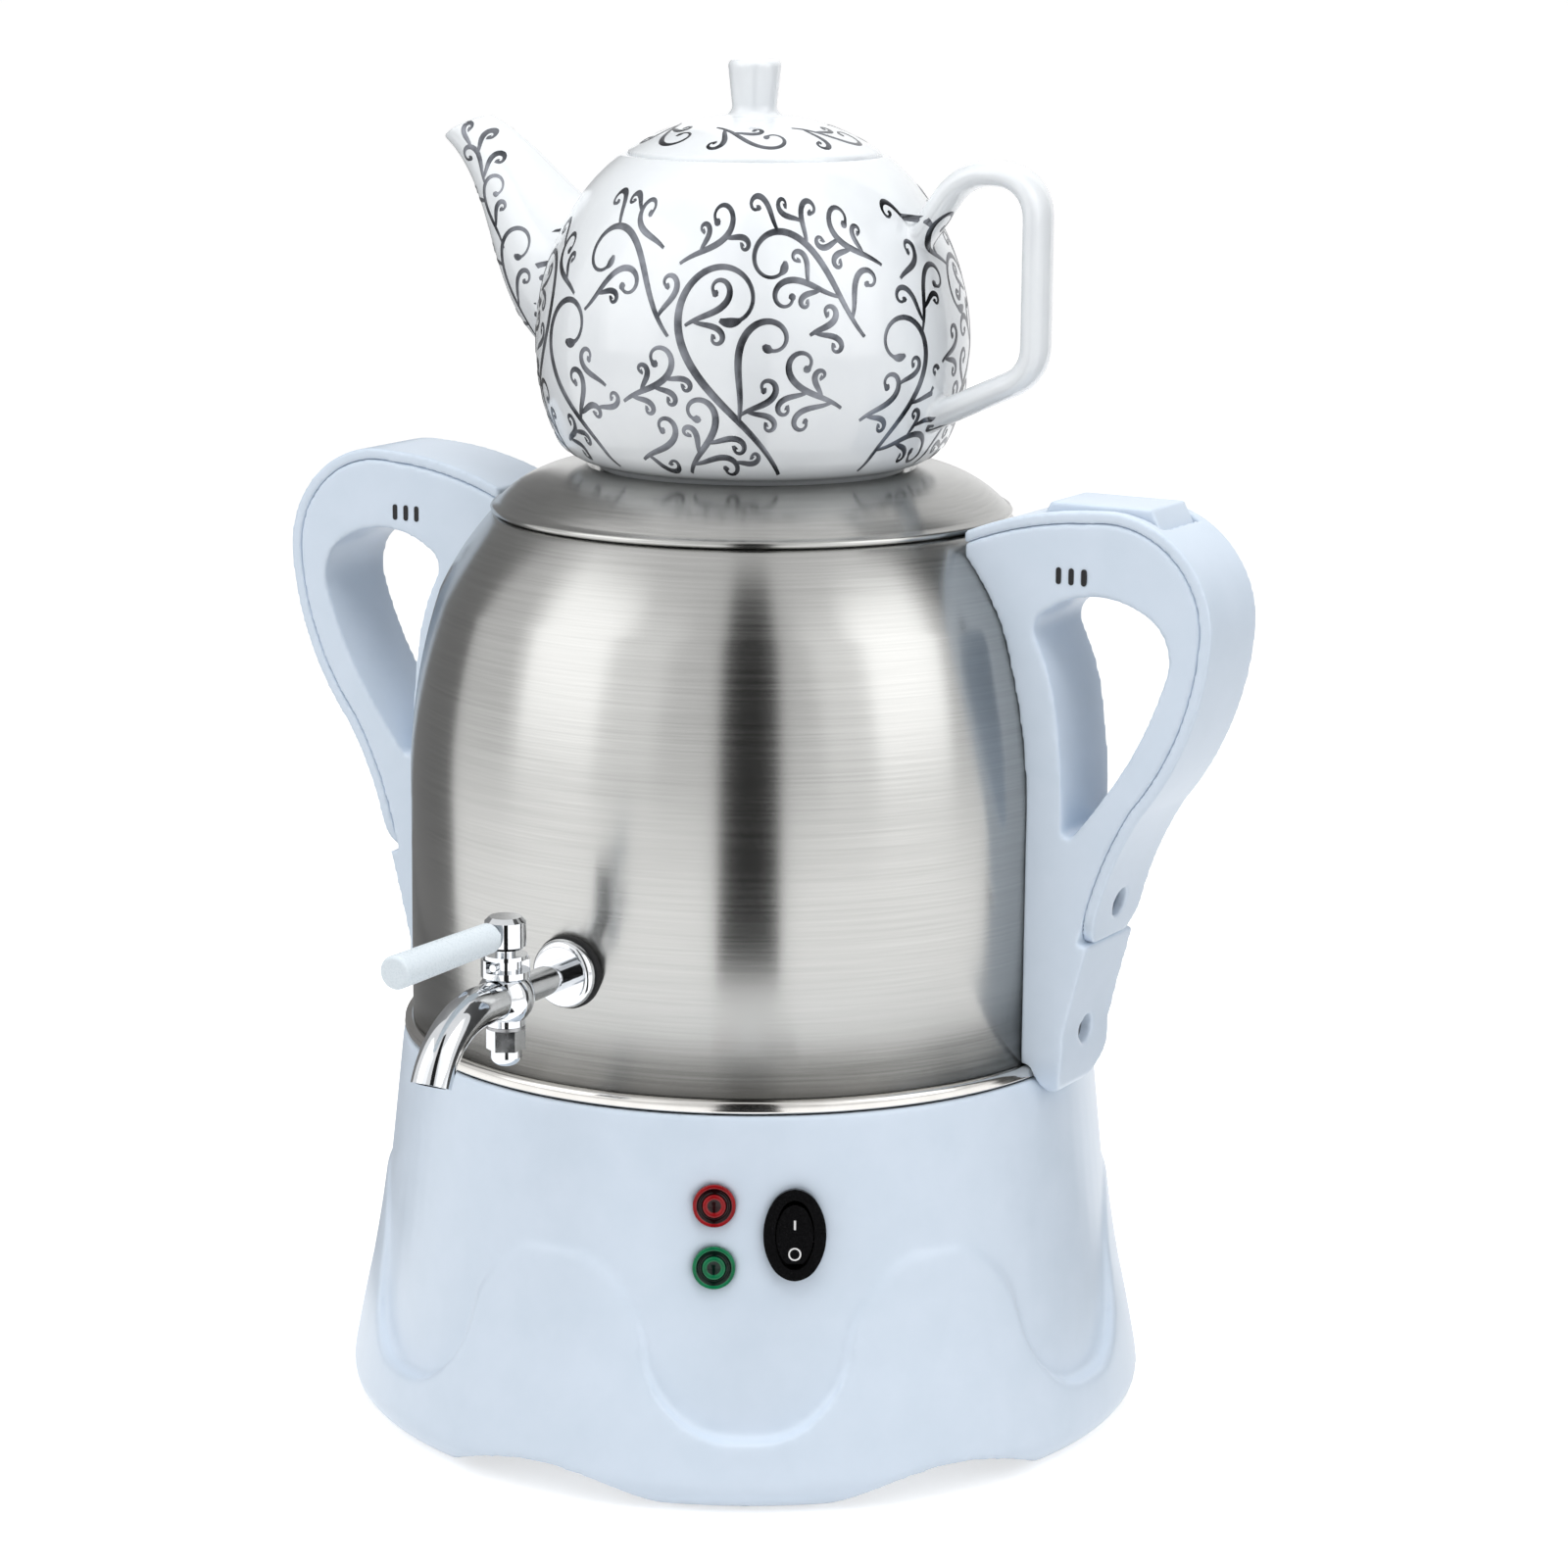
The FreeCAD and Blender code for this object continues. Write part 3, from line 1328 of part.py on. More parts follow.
def make_button():
    turn = s.handle_turn
    body = new_body("boil_button", turn=turn)
    low = s.button_surface - s.button_depth
    top = s.button_surface + s.button_rise
    end = s.button_start + s.button_length
    side_view = new_sketch(body)
    outline(
        side_view,
        (s.button_start, low),
        (end, low),
        (end, s.button_surface - 1.5),
        (end - s.button_slope, top),
        (s.button_start + s.button_slope, top),
        (s.button_start, s.button_surface - 1.5),
    )
    pad(body, side_view, s.button_width, both_sides=True)
    pin_x = s.button_start + 3.5
    pin_z = low + 3.0
    bore = new_sketch(body)
    circle(bore, pin_x, pin_z, s.button_pin_radius + s.turn_gap)
    pad(body, bore, s.button_width + 2.0, cut=True, both_sides=True)
    pin = new_body("button_pin", turn=turn)
    round_bar = new_sketch(pin)
    circle(round_bar, pin_x, pin_z, s.button_pin_radius)
    pad(pin, round_bar, s.button_width + s.fit_gap * 4.0, both_sides=True)
    switch = new_body("steam_switch", turn=turn)
    box = new_sketch(switch)
    floor = low - 10.5
    rectangle(box, s.button_start + 4.0, floor, s.button_start + 4.0 + s.switch_body_length,
              floor + s.switch_body_height - 2.0)
    pad(switch, box, 16.0, both_sides=True)


# Tap. In its own frame the plug's upright axis is the origin and +X points outward.

def tap_frame(label):
    return new_body(label, turn=s.tap_turn, out=s.tap_axis_reach, height=s.tap_height)


def make_tap():
    body = tap_frame("tap_body")
    hub = s.plug_radius + s.hub_wall
    half_ball = root(s.ball_radius * s.ball_radius - hub * hub)
    low_face = -(s.ball_radius - 0.2)
    ball = new_sketch(body)
    outline(
        ball,
        (0.0, low_face),
        (hub, low_face),
        (hub, -half_ball),
        (hub, half_ball, s.ball_radius, 0.0),
        (s.collar_radius, half_ball),
        (s.collar_radius, half_ball + s.collar_height),
        (0.0, half_ball + s.collar_height),
    )
    revolve(body, ball)
    inside = s.tap_axis_reach - s.tank_radius + 12.0
    stem = new_sketch(body, "YZ_Plane", lift=-inside)
    circle(stem, 0.0, 0.0, s.stem_radius)
    pad(body, stem, inside)
    angle = s.pipe_bend_angle
    bend = s.pipe_bend
    start = s.pipe_start
    corner = bend * sine(angle) / (1.0 + cosine(angle))
    end_x = start + corner + (corner + s.pipe_drop) * cosine(angle)
    end_z = -((corner + s.pipe_drop) * sine(angle))
    route = [(1.0, 0.0), (start + corner, 0.0), (end_x, end_z)]
    path = new_sketch(body)
    bent_path(path, route, bend)
    section = new_sketch(body, "YZ_Plane", lift=1.0)
    circle(section, 0.0, 0.0, s.pipe_radius)
    sweep(body, section, path)
    path = new_sketch(body)
    bent_path(path, route, bend)
    section = new_sketch(body, "YZ_Plane", lift=1.0)
    circle(section, 0.0, 0.0, s.pipe_bore)
    sweep(body, section, path, cut=True)
    bore = new_sketch(body, "YZ_Plane", lift=-(inside + 1.0))
    circle(bore, 0.0, 0.0, s.stem_bore)
    pad(body, bore, inside + 7.0, cut=True, back=True)
    well = new_sketch(body, "XY_Plane", lift=-(s.ball_radius + 2.0))
    circle(well, 0.0, 0.0, s.plug_radius + s.turn_gap)
    pad(body, well, 40.0, cut=True, back=True)
    slot = new_sketch(body, "XZ_Plane", swing=45.0, lift=as_size(0.0))
    rectangle(slot, s.plug_radius - 1.0, half_ball + s.collar_height - s.collar_slot,
              s.collar_radius + 1.0, half_ball + s.collar_height + 1.0)
    groove = body.newObject("PartDesign::Groove", "tap_stop_slot")
    groove.Profile = slot
    groove.ReferenceAxis = (slot, ["V_Axis"])
    groove.Angle = 128
    groove.Midplane = True
    finish_feature(body, groove)
    plug = tap_frame("tap_plug")
    collar_top = half_ball + s.collar_height
    turned = new_sketch(plug)
    nut_low = low_face - s.washer_gap - s.washer_depth - s.plug_nut_height
    bolt = s.neck_spindle_radius - 0.4
    lever_low = s.lever_height - s.tap_height - s.lever_head_height / 2.0
    shoulder = collar_top + s.washer_gap
    outline(
        turned,
        (0.0, nut_low - s.plug_cap_height + 1.0),
        (bolt, nut_low - s.plug_cap_height + 1.0),
        (bolt, low_face + 0.3),
        (s.plug_radius, low_face + 0.3),
        (s.plug_radius, shoulder),
        (s.collar_radius - 0.6, shoulder),
        (s.collar_radius - 0.6, shoulder + 1.1),
        (s.neck_spindle_radius, shoulder + 1.1),
        (s.neck_spindle_radius, lever_low),
        (0.0, lever_low),
    )
    revolve(plug, turned)
    cross = new_sketch(plug)
    circle(cross, 0.0, 0.0, s.stem_bore)
    pad(plug, cross, 20.0, cut=True, both_sides=True)
    stop = new_sketch(plug, "YZ_Plane", lift=s.plug_radius - 1.0)
    circle(stop, 0.0, collar_top - s.collar_slot / 2.0, 1.0)
    pad(plug, stop, s.collar_radius - s.plug_radius + 0.6)
    make_lever()
    make_plug_nut(nut_low)
    make_tap_seals()


def make_lever():
    head = tap_frame("tap_lever_head")
    middle = s.lever_height - s.tap_height
    low = middle - s.lever_head_height / 2.0
    high = middle + s.lever_head_height / 2.0
    turned = new_sketch(head)
    outline(
        turned,
        (0.0, low),
        (s.lever_head_radius - 0.8, low),
        (s.lever_head_radius, low + 0.8),
        (s.lever_head_radius, high - 1.2),
        (s.lever_head_radius - 1.2, high),
        (0.0, high),
    )
    revolve(head, turned)
    tang = new_sketch(head, "YZ_Plane", lift=s.lever_head_radius - 2.0)
    circle(tang, 0.0, middle, s.tang_radius)
    pad(head, tang, s.grip_start + 14.0 - s.lever_head_radius)
    grip = doc.addObject("Part::Cone", "tap_grip_cone")
    grip.Placement.Rotation = FreeCAD.Rotation(FreeCAD.Vector(0, 1, 0), 90)
    grip.setExpression("Radius1", s.grip_end_radius.text)
    grip.setExpression("Radius2", s.grip_radius.text)
    grip.setExpression("Height", s.grip_length.text)
    grip.setExpression(".Placement.Base.x", s.grip_start.text)
    grip.setExpression(".Placement.Base.z", middle.text)
    bore = doc.addObject("Part::Cylinder", "tap_grip_bore")
    bore.Placement.Rotation = FreeCAD.Rotation(FreeCAD.Vector(0, 1, 0), 90)
    bore.setExpression("Radius", s.tang_radius.text)
    bore.setExpression("Height", (s.grip_start + 12.0).text)
    bore.setExpression(".Placement.Base.z", middle.text)
    doc.recompute()
    rounded = doc.addObject("Part::Fillet", "tap_grip_rounded")
    rounded.Base = grip
    ends = [i for i, e in enumerate(grip.Shape.Edges, start=1) if len(e.Vertexes) == 1]
    rounded.Edges = [(i, 1.0, 1.0) for i in ends]
    cut = doc.addObject("Part::Cut", "tap_grip")
    cut.Base = rounded
    cut.Tool = bore
    cut.Label = "tap_grip"
    seat(cut, turn=s.tap_turn, out=s.tap_axis_reach, height=s.tap_height)
    PARTS.append(cut)


def make_plug_nut(nut_low):
    bolt = s.neck_spindle_radius - 0.4
    nut = tap_frame("tap_plug_nut")
    six = new_sketch(nut, "XY_Plane", lift=nut_low)
    hexagon(six, 0.0, 0.0, s.plug_nut_radius)
    circle(six, 0.0, 0.0, bolt)
    pad(nut, six, s.plug_nut_height)
    washer = tap_frame("tap_washer")
    ring = new_sketch(washer, "XY_Plane", lift=nut_low + s.plug_nut_height)
    circle(ring, 0.0, 0.0, s.plug_radius + s.hub_wall)
    circle(ring, 0.0, 0.0, bolt)
    pad(washer, ring, s.washer_depth)
    cap = tap_frame("tap_cap_nut")
    low = nut_low - s.plug_cap_height
    dome = new_sketch(cap)
    outline(
        dome,
        (0.0, low),
        (s.plug_cap_radius, nut_low - 2.0, s.plug_cap_radius - 1.0, low + 0.9),
        (s.plug_cap_radius, nut_low),
        (bolt, nut_low),
        (bolt, low + 1.0),
        (0.0, low + 1.0),
    )
    revolve(cap, dome)


def make_tap_seals():
    start = s.tank_radius + s.tap_seal_depth
    flange = new_body("tap_flange", turn=s.tap_turn)
    disc = new_sketch(flange, "YZ_Plane", lift=start)
    circle(disc, 0.0, s.tap_height, s.flange_radius)
    circle(disc, 0.0, s.tap_height, s.stem_radius)
    pad(flange, disc, s.flange_depth)
    round_edges(flange, s.flange_depth * 0.6, lambda e: abs(e.BoundBox.YLength - 2 * SIZES["flange_radius"]) < 0.5
                and e.BoundBox.XMin > SIZES["tank_radius"] + SIZES["tap_seal_depth"] + 0.5)
    seal = new_body("tap_seal", turn=s.tap_turn)
    ring = new_sketch(seal, "YZ_Plane", lift=start - 3.0)
    circle(ring, 0.0, s.tap_height, s.flange_radius + 0.5)
    circle(ring, 0.0, s.tap_height, s.stem_radius)
    pad(seal, ring, 3.0)
    wall = new_sketch(seal)
    rectangle(wall, 0.0, s.tap_height - 20.0, s.tank_radius, s.tap_height + 20.0)
    revolve(seal, wall, cut=True)
    inner_face = s.tank_radius - s.tank_wall - s.fit_gap * 1.5
    inner = new_body("tap_inner_seal", turn=s.tap_turn)
    ring = new_sketch(inner, "YZ_Plane", lift=inner_face - s.tap_seal_depth)
    circle(ring, 0.0, s.tap_height, s.lock_nut_radius)
    circle(ring, 0.0, s.tap_height, s.stem_radius)
    pad(inner, ring, s.tap_seal_depth)
    nut = new_body("tap_lock_nut", turn=s.tap_turn)
    six = new_sketch(nut, "YZ_Plane", lift=inner_face - s.tap_seal_depth - s.lock_nut_height)
    hexagon(six, 0.0, s.tap_height, s.lock_nut_radius)
    circle(six, 0.0, s.tap_height, s.stem_radius)
    pad(nut, six, s.lock_nut_height)


# Control panel on the sloping front wall, and the mains inlet at the back

def make_lamp(colour, height):
    lens = new_body(colour + "_lamp_lens", panel=height, across=s.lamp_offset)
    dome = new_sketch(lens)
    outline(
        dome,
        (0.0, -2.0),
        (s.lamp_body_radius, -2.0),
        (s.lamp_body_radius, 0.0),
        (s.lamp_radius, 0.0),
        (s.lamp_radius, s.lamp_rim),
        (0.6, s.lamp_rim + 0.9, s.lamp_radius * 0.6, s.lamp_rim + 0.55),
        (0.0, s.lamp_rim + 0.9),
    )
    revolve(lens, dome)
    holder = new_body(colour + "_lamp_body", panel=height, across=s.lamp_offset)
    barrel = new_sketch(holder)
    outline(
        barrel,
        (0.0, -s.lamp_body_depth),
        (s.lamp_body_radius - 0.6, -s.lamp_body_depth),
        (s.lamp_body_radius, -s.lamp_body_depth + 2.0),
        (s.lamp_body_radius, -2.0),
        (0.0, -2.0),
    )
    revolve(holder, barrel)


def make_rocker():
    place = dict(panel=s.rocker_height, across=s.rocker_offset)
    housing = new_body("switch_housing", **place)
    bezel = new_sketch(housing, "XY_Plane")
    oval(bezel, 0.0, 0.0, s.bezel_half_width, s.bezel_half_height)
    pad(housing, bezel, s.bezel_depth)
    box = new_sketch(housing, "XY_Plane")
    oval(box, 0.0, 0.0, s.switch_half_width, s.switch_half_height)
    pad(housing, box, s.switch_depth, back=True)
    gap = s.fit_gap
    window = new_sketch(housing, "XY_Plane", lift=-(s.switch_depth - 6.0))
    oval(window, 0.0, 0.0, s.rocker_half_width + gap, s.rocker_half_height + 1.35)
    pad(housing, window, 30.0, cut=True, back=True)
    rocker = new_body("rocker", **place)
    side_view = new_sketch(rocker, "YZ_Plane", lift=-s.rocker_half_width)
    half = s.rocker_half_height
    lean = s.rocker_throw / 2.0
    dip = s.rocker_pin_depth + s.bezel_depth - 0.6
    peak = dip + half * sine(lean) / cosine(lean)

    def leaned(y, z):
        """A point of the level rocker, counted from its pin, with the rocker tipped to its stop."""
        return (y * cosine(lean) - z * -sine(lean), z * cosine(lean) + y * -sine(lean) - s.rocker_pin_depth)

    outline(
        side_view,
        leaned(-half, peak),
        leaned(0.4 - half, as_size(1.2)),
        leaned(as_size(-3.4), as_size(-2.4)),
        leaned(as_size(3.4), as_size(-2.4)),
        leaned(half - 0.4, as_size(1.2)),
        leaned(half, peak),
        leaned(as_size(0.0), dip),
    )
    pad(rocker, side_view, 2.0 * s.rocker_half_width)
    around_it = new_sketch(rocker, "XY_Plane", lift=-(s.switch_depth - 4.0))
    rectangle(around_it, -20.0, -20.0, 20.0, 20.0)
    oval(around_it, 0.0, 0.0, s.rocker_half_width, s.rocker_half_height)
    pad(rocker, around_it, 30.0, cut=True, back=True)
    pins = new_sketch(rocker, "YZ_Plane", lift=-(s.switch_half_width - 1.0))
    circle(pins, 0.0, -s.rocker_pin_depth, 1.0)
    pad(rocker, pins, 2.0 * (s.switch_half_width - 1.0))
    sockets = new_sketch(housing, "YZ_Plane", lift=-(s.switch_half_width - 0.9))
    circle(sockets, 0.0, -s.rocker_pin_depth, 1.0 + s.turn_gap)
    pad(housing, sockets, 2.0 * (s.switch_half_width - 0.9), cut=True, back=True)
    contacts = new_body("switch_contacts", **place)
    for y in (-5.0, 5.0):
        tab = new_sketch(contacts, "XY_Plane", lift=-s.switch_depth)
        rectangle(tab, -2.4, y - 0.4, 2.4, y + 0.4)
        pad(contacts, tab, 7.0, back=True)


PIN_PLACES = ((-1.0, -2.5), (0.0, 2.0), (1.0, -2.5))


def make_inlet():
    turn = 180.0
    face = s.inlet_pad_reach
    housing = new_body("inlet_housing", turn=turn)
    middle = s.inlet_height
    wide = s.inlet_half_width + s.inlet_flange
    tall = s.inlet_half_height + s.inlet_flange
    flange = new_sketch(housing, "YZ_Plane", lift=face)
    rectangle(flange, -wide, middle - tall, wide, middle + tall)
    pad(housing, flange, s.inlet_flange_depth)
    box = new_sketch(housing, "YZ_Plane", lift=face)
    rectangle(box, -s.inlet_half_width, middle - s.inlet_half_height,
              s.inlet_half_width, middle + s.inlet_half_height)
    pad(housing, box, s.inlet_depth - s.inlet_flange_depth, back=True)
    wide = s.inlet_half_width - s.inlet_wall
    tall = s.inlet_half_height - s.inlet_wall
    floor = face + s.inlet_flange_depth - s.inlet_depth + s.inlet_wall
    recess = new_sketch(housing, "YZ_Plane", lift=floor)
    outline(
        recess,
        (-wide, middle - tall),
        (wide, middle - tall),
        (wide, middle + tall - 4.0),
        (wide - 4.0, middle + tall),
        (-(wide - 4.0), middle + tall),
        (-wide, middle + tall - 4.0),
    )
    pad(housing, recess, s.inlet_depth, cut=True, back=True)
    for number, rise in PIN_PLACES:
        slot = new_sketch(housing, "YZ_Plane", lift=floor - s.inlet_wall - 1.0)
        rectangle(slot, number * s.pin_pitch - s.pin_thickness / 2.0, middle + rise - s.pin_width / 2.0,
                  number * s.pin_pitch + s.pin_thickness / 2.0, middle + rise + s.pin_width / 2.0)
        pad(housing, slot, s.inlet_wall + 2.0, cut=True, back=True)
    for sign in (-1.0, 1.0):
        hole = new_sketch(housing, "YZ_Plane", lift=face - 1.0)
        circle(hole, sign * inlet_screw_place, middle, s.screw_radius - 0.3)
        pad(housing, hole, 6.0, cut=True, back=True)
    pins = ring_boxes("inlet_pins", turn, floor, middle)
    screws = []
    for sign in (-1.0, 1.0):
        parts = []
        for radius, start, length in (
            (as_size(2.1), face + s.inlet_flange_depth, as_size(1.2)),
            (s.screw_radius - 0.3, face - 2.0, s.inlet_flange_depth + 2.0),
        ):
            disc = doc.addObject("Part::Cylinder", "inlet_screw_disc")
            disc.Placement.Rotation = FreeCAD.Rotation(FreeCAD.Vector(0, 1, 0), 90)
            disc.setExpression("Radius", radius.text)
            disc.setExpression("Height", length.text)
            disc.setExpression(".Placement.Base.x", start.text)
            disc.setExpression(".Placement.Base.y", (sign * inlet_screw_place).text)
            disc.setExpression(".Placement.Base.z", middle.text)
            parts.append(disc)
        screw = doc.addObject("Part::Fuse", "inlet_screw")
        screw.Base = parts[0]
        screw.Tool = parts[1]
        screws.append(screw)
    group = doc.addObject("Part::Compound", "inlet_screws")
    group.Links = screws
    group.Label = "inlet_screws"
    seat(group, turn=turn)
    PARTS.append(group)
    return pins


def ring_boxes(label, turn, floor, middle):
    """The three flat pins of the inlet, each with its tail behind the socket's floor."""
    bars = []
    for number, rise in PIN_PLACES:
        bar = doc.addObject("Part::Box", label + "_bar")
        bar.setExpression("Length", (s.pin_length + s.inlet_wall).text)
        bar.setExpression("Width", s.pin_thickness.text)
        bar.setExpression("Height", s.pin_width.text)
        bar.setExpression(".Placement.Base.x", (floor - s.inlet_wall).text)
        bar.setExpression(".Placement.Base.y", (number * s.pin_pitch - s.pin_thickness / 2.0).text)
        bar.setExpression(".Placement.Base.z", (middle + rise - s.pin_width / 2.0).text)
        bars.append(bar)
    group = doc.addObject("Part::Compound", label)
    group.Links = bars
    group.Label = label
    seat(group, turn=turn)
    PARTS.append(group)
    return group


def make_lead(label, side, points):
    """An insulated lead in an upright plane `side` to the right of the axis, seen from the front."""
    body = new_body(label, turn=0.0)
    path = new_sketch(body, "XZ_Plane", lift=-as_size(side))
    bent_path(path, points, s.lead_bend)
    section = new_sketch(body, "YZ_Plane", lift=points[0][0])
    section.setExpression(".AttachmentOffset.Base.x", as_size(side).text)
    section.setExpression(".AttachmentOffset.Base.y", as_size(points[0][1]).text)
    circle(section, 0.0, 0.0, s.lead_radius)
    sweep(body, section, path)
    return body


def make_leads():
    inlet_back = -(s.inlet_pad_reach + s.inlet_flange_depth - s.inlet_depth)
    start = s.inlet_height - 2.5
    plate_low = s.floor_height - s.tank_wall - s.plate_thickness
    switch_back = cone_radius(s.rocker_height) - s.switch_depth - 1.6
    leg_low = plate_low - s.element_radius - s.terminal_drop
    rear = -(s.tank_radius - 35.0)
    front = s.tank_radius - 55.0
    make_lead("lead_live", s.pin_pitch, [
        (inlet_back, start), (rear, start), (front, s.rocker_height - 8.0),
        (switch_back, s.rocker_height - 4.0)])
    make_lead("lead_earth", 0.0, [
        (inlet_back, s.inlet_height + 2.0), (rear - 2.0, s.inlet_height + 2.0),
        (-30.0, 72.0), (-30.0, plate_low)])
    make_lead("lead_neutral", -s.pin_pitch, [
        (inlet_back, start), (rear, start), (front, s.red_lamp_height - 6.0),
        (cone_radius(s.red_lamp_height) - s.lamp_body_depth - 2.0, s.red_lamp_height - 1.5)])
    leg = s.element_circle * sine(15.5)
    make_lead("lead_heater", leg, [
        (switch_back, s.rocker_height + 1.0), (front + 18.0, s.rocker_height + 1.0), (-20.0, 66.0),
        (-(s.element_circle * cosine(15.5)), 66.0), (-(s.element_circle * cosine(15.5)), leg_low)])


make_base_shell()
make_bottom_cover()
make_feet_and_screws()
make_tank_shell()
make_tank_floor()
make_tank_ring()
make_tank_gasket()
make_heater()
make_lid()
make_teapot()
make_teapot_lid()
make_handle("right", s.handle_turn, True)
make_handle("left", s.handle_turn - 180.0, False)
make_button()
make_tap()
make_lamp("red", s.red_lamp_height)
make_lamp("green", s.green_lamp_height)
make_rocker()
make_inlet()
make_leads()
doc.recompute()

# Nothing is written unless every object and every sub-part is sound

for thing in doc.Objects:
    if "Invalid" in thing.State or "Error" in thing.State:
        raise RuntimeError(f"{thing.Label} failed: {thing.State}")
labels = [part.Label for part in PARTS]
if len(set(labels)) != len(labels):
    raise RuntimeError("two sub-parts share a name")
for part in PARTS:
    if part.Shape.isNull() or not part.Shape.isValid() or not part.Shape.Solids:
        raise RuntimeError(f"{part.Label} has no valid solid")

os.makedirs("parts", exist_ok=True)
for part in PARTS:
    part.Shape.exportStep(f"parts/{part.Label}.step")
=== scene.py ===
import math

import bmesh
import bpy
from mathutils import Matrix, Vector
from mathutils.bvhtree import BVHTree


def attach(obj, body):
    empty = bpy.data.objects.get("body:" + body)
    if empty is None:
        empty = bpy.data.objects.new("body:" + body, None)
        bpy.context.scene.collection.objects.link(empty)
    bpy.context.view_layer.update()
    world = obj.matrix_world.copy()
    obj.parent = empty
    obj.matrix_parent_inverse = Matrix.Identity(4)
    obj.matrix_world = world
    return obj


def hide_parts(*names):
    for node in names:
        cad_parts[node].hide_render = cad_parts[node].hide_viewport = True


# An electric samovar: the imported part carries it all, and this script gives it its surfaces and finishes.

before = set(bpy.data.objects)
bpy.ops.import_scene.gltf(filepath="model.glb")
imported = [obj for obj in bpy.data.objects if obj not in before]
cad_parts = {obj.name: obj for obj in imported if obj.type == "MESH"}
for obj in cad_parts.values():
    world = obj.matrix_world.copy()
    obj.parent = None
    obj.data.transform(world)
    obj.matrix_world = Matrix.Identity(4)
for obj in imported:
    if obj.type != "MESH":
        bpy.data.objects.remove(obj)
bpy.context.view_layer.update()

MM = 0.001
FULL_TURN = 2.0 * math.pi

# Where things stand. The tank's upright axis stands behind the origin, and turns go round from the front.
TANK_BACK = 20.9 * MM
TANK_AXIS = Vector((0.0, TANK_BACK, 0.0))
HANDLE_TURNS = {"right": 60.0, "left": -120.0}
SPOUT_TURN = -120.0

# The base's cone, from its rim down to the waved skirt, and the controls on its front.
RIM_RADIUS = 97.5
RIM_HEIGHT = 106.3
CONE_FOOT_RADIUS = 106.2
CONE_FOOT_HEIGHT = 22.0
WALL_TILT = math.atan((CONE_FOOT_RADIUS - RIM_RADIUS) / (RIM_HEIGHT - CONE_FOOT_HEIGHT))
LAMP_X = -8.6
LAMP_HEIGHTS = {"red": 82.5, "green": 66.0}
ROCKER_X = 12.7
ROCKER_HEIGHT = 75.0
ROCKER_THROW = 14.0

# The tank's and the lid's sheet.
SHEET = 0.8
TANK_RADIUS = 95.0
TANK_FOOT = 105.0
BELL_START = 172.0
NECK_RADIUS = 66.0
NECK_TOP = 252.6
NECK_FOOT = 245.6
LID_RADIUS = 71.6
LID_FOOT = 252.9
SEAT_HEIGHT = 264.4
STEAM_HOLE_RADIUS = 9.0

# The pot, as the ornament is laid out on it.
POT_BASE = 264.7
BELLY_RADIUS = 58.0
BELLY_LOW = 3.8
BELLY_HIGH = 79.0


# Materials

def linear(hex_colour):
    """An sRGB hex colour as linear red, green, blue and a full alpha."""
    parts = [int(hex_colour[i:i + 2], 16) / 255.0 for i in (1, 3, 5)]
    return [p / 12.92 if p <= 0.04045 else ((p + 0.055) / 1.055) ** 2.4 for p in parts] + [1.0]


def add_node(tree, kind, settings, links=None):
    """Adds a node. A setting is one of its properties or inputs, and a link is input: (node, output)."""
    node = tree.nodes.new(kind)
    for name, value in settings.items():
        if hasattr(node, name):
            setattr(node, name, value)
        else:
            node.inputs[name].default_value = value
    for name, (source, output) in (links or {}).items():
        tree.links.new(source.outputs[output], node.inputs[name])
    return node


def new_material(name, settings):
    """A material with one Principled shader. Returns the material, its tree and the shader."""
    material = bpy.data.materials.new(name)
    material.use_nodes = True
    tree = material.node_tree
    shader = tree.nodes["Principled BSDF"]
    for socket, value in settings.items():
        shader.inputs[socket].default_value = value
    return material, tree, shader


def fine_surface(tree, shader, grain_mm, depth_mm, rough_low, rough_high, stretch=(1.0, 1.0, 1.0)):
    """Fine unevenness of a made surface: a height and a roughness that vary over the same grain."""
    place = add_node(tree, "ShaderNodeTexCoord", {})
    spread = add_node(tree, "ShaderNodeMapping", {"Scale": stretch}, {"Vector": (place, "Object")})
    grain = add_node(
        tree, "ShaderNodeTexNoise", {"Scale": 1.0 / (grain_mm * MM), "Detail": 3.0, "Roughness": 0.55},
        {"Vector": (spread, "Vector")})
    rough = add_node(
        tree, "ShaderNodeMapRange",
        {"From Min": 0.3, "From Max": 0.7, "To Min": rough_low, "To Max": rough_high},
        {"Value": (grain, "Fac")})
    tree.links.new(rough.outputs["Result"], shader.inputs["Roughness"])
    bump = add_node(
        tree, "ShaderNodeBump", {"Strength": 1.0, "Distance": depth_mm * MM}, {"Height": (grain, "Fac")})
    tree.links.new(bump.outputs["Normal"], shader.inputs["Normal"])
    return grain


def tinted(tree, shader, grain, low, high):
    """Lets the base colour vary between two hex colours with a grain."""
    ramp = add_node(tree, "ShaderNodeValToRGB", {}, {"Fac": (grain, "Fac")})
    ramp.color_ramp.elements[0].position = 0.3
    ramp.color_ramp.elements[0].color = linear(low)
    ramp.color_ramp.elements[1].position = 0.7
    ramp.color_ramp.elements[1].color = linear(high)
    tree.links.new(ramp.outputs["Color"], shader.inputs["Base Color"])


def moulded_white_polypropylene():
    """Injection-moulded, lightly polished plastic: a cool white with a soft wide highlight.

    The flow of the plastic shows as faint clouds of about 14 mm.
    """
    material, tree, shader = new_material("moulded_white_polypropylene", {"IOR": 1.49})
    grain = fine_surface(tree, shader, 14.0, 0.004, 0.3, 0.36)
    tinted(tree, shader, grain, "#CFDCEA", "#D4E0EE")
    return material


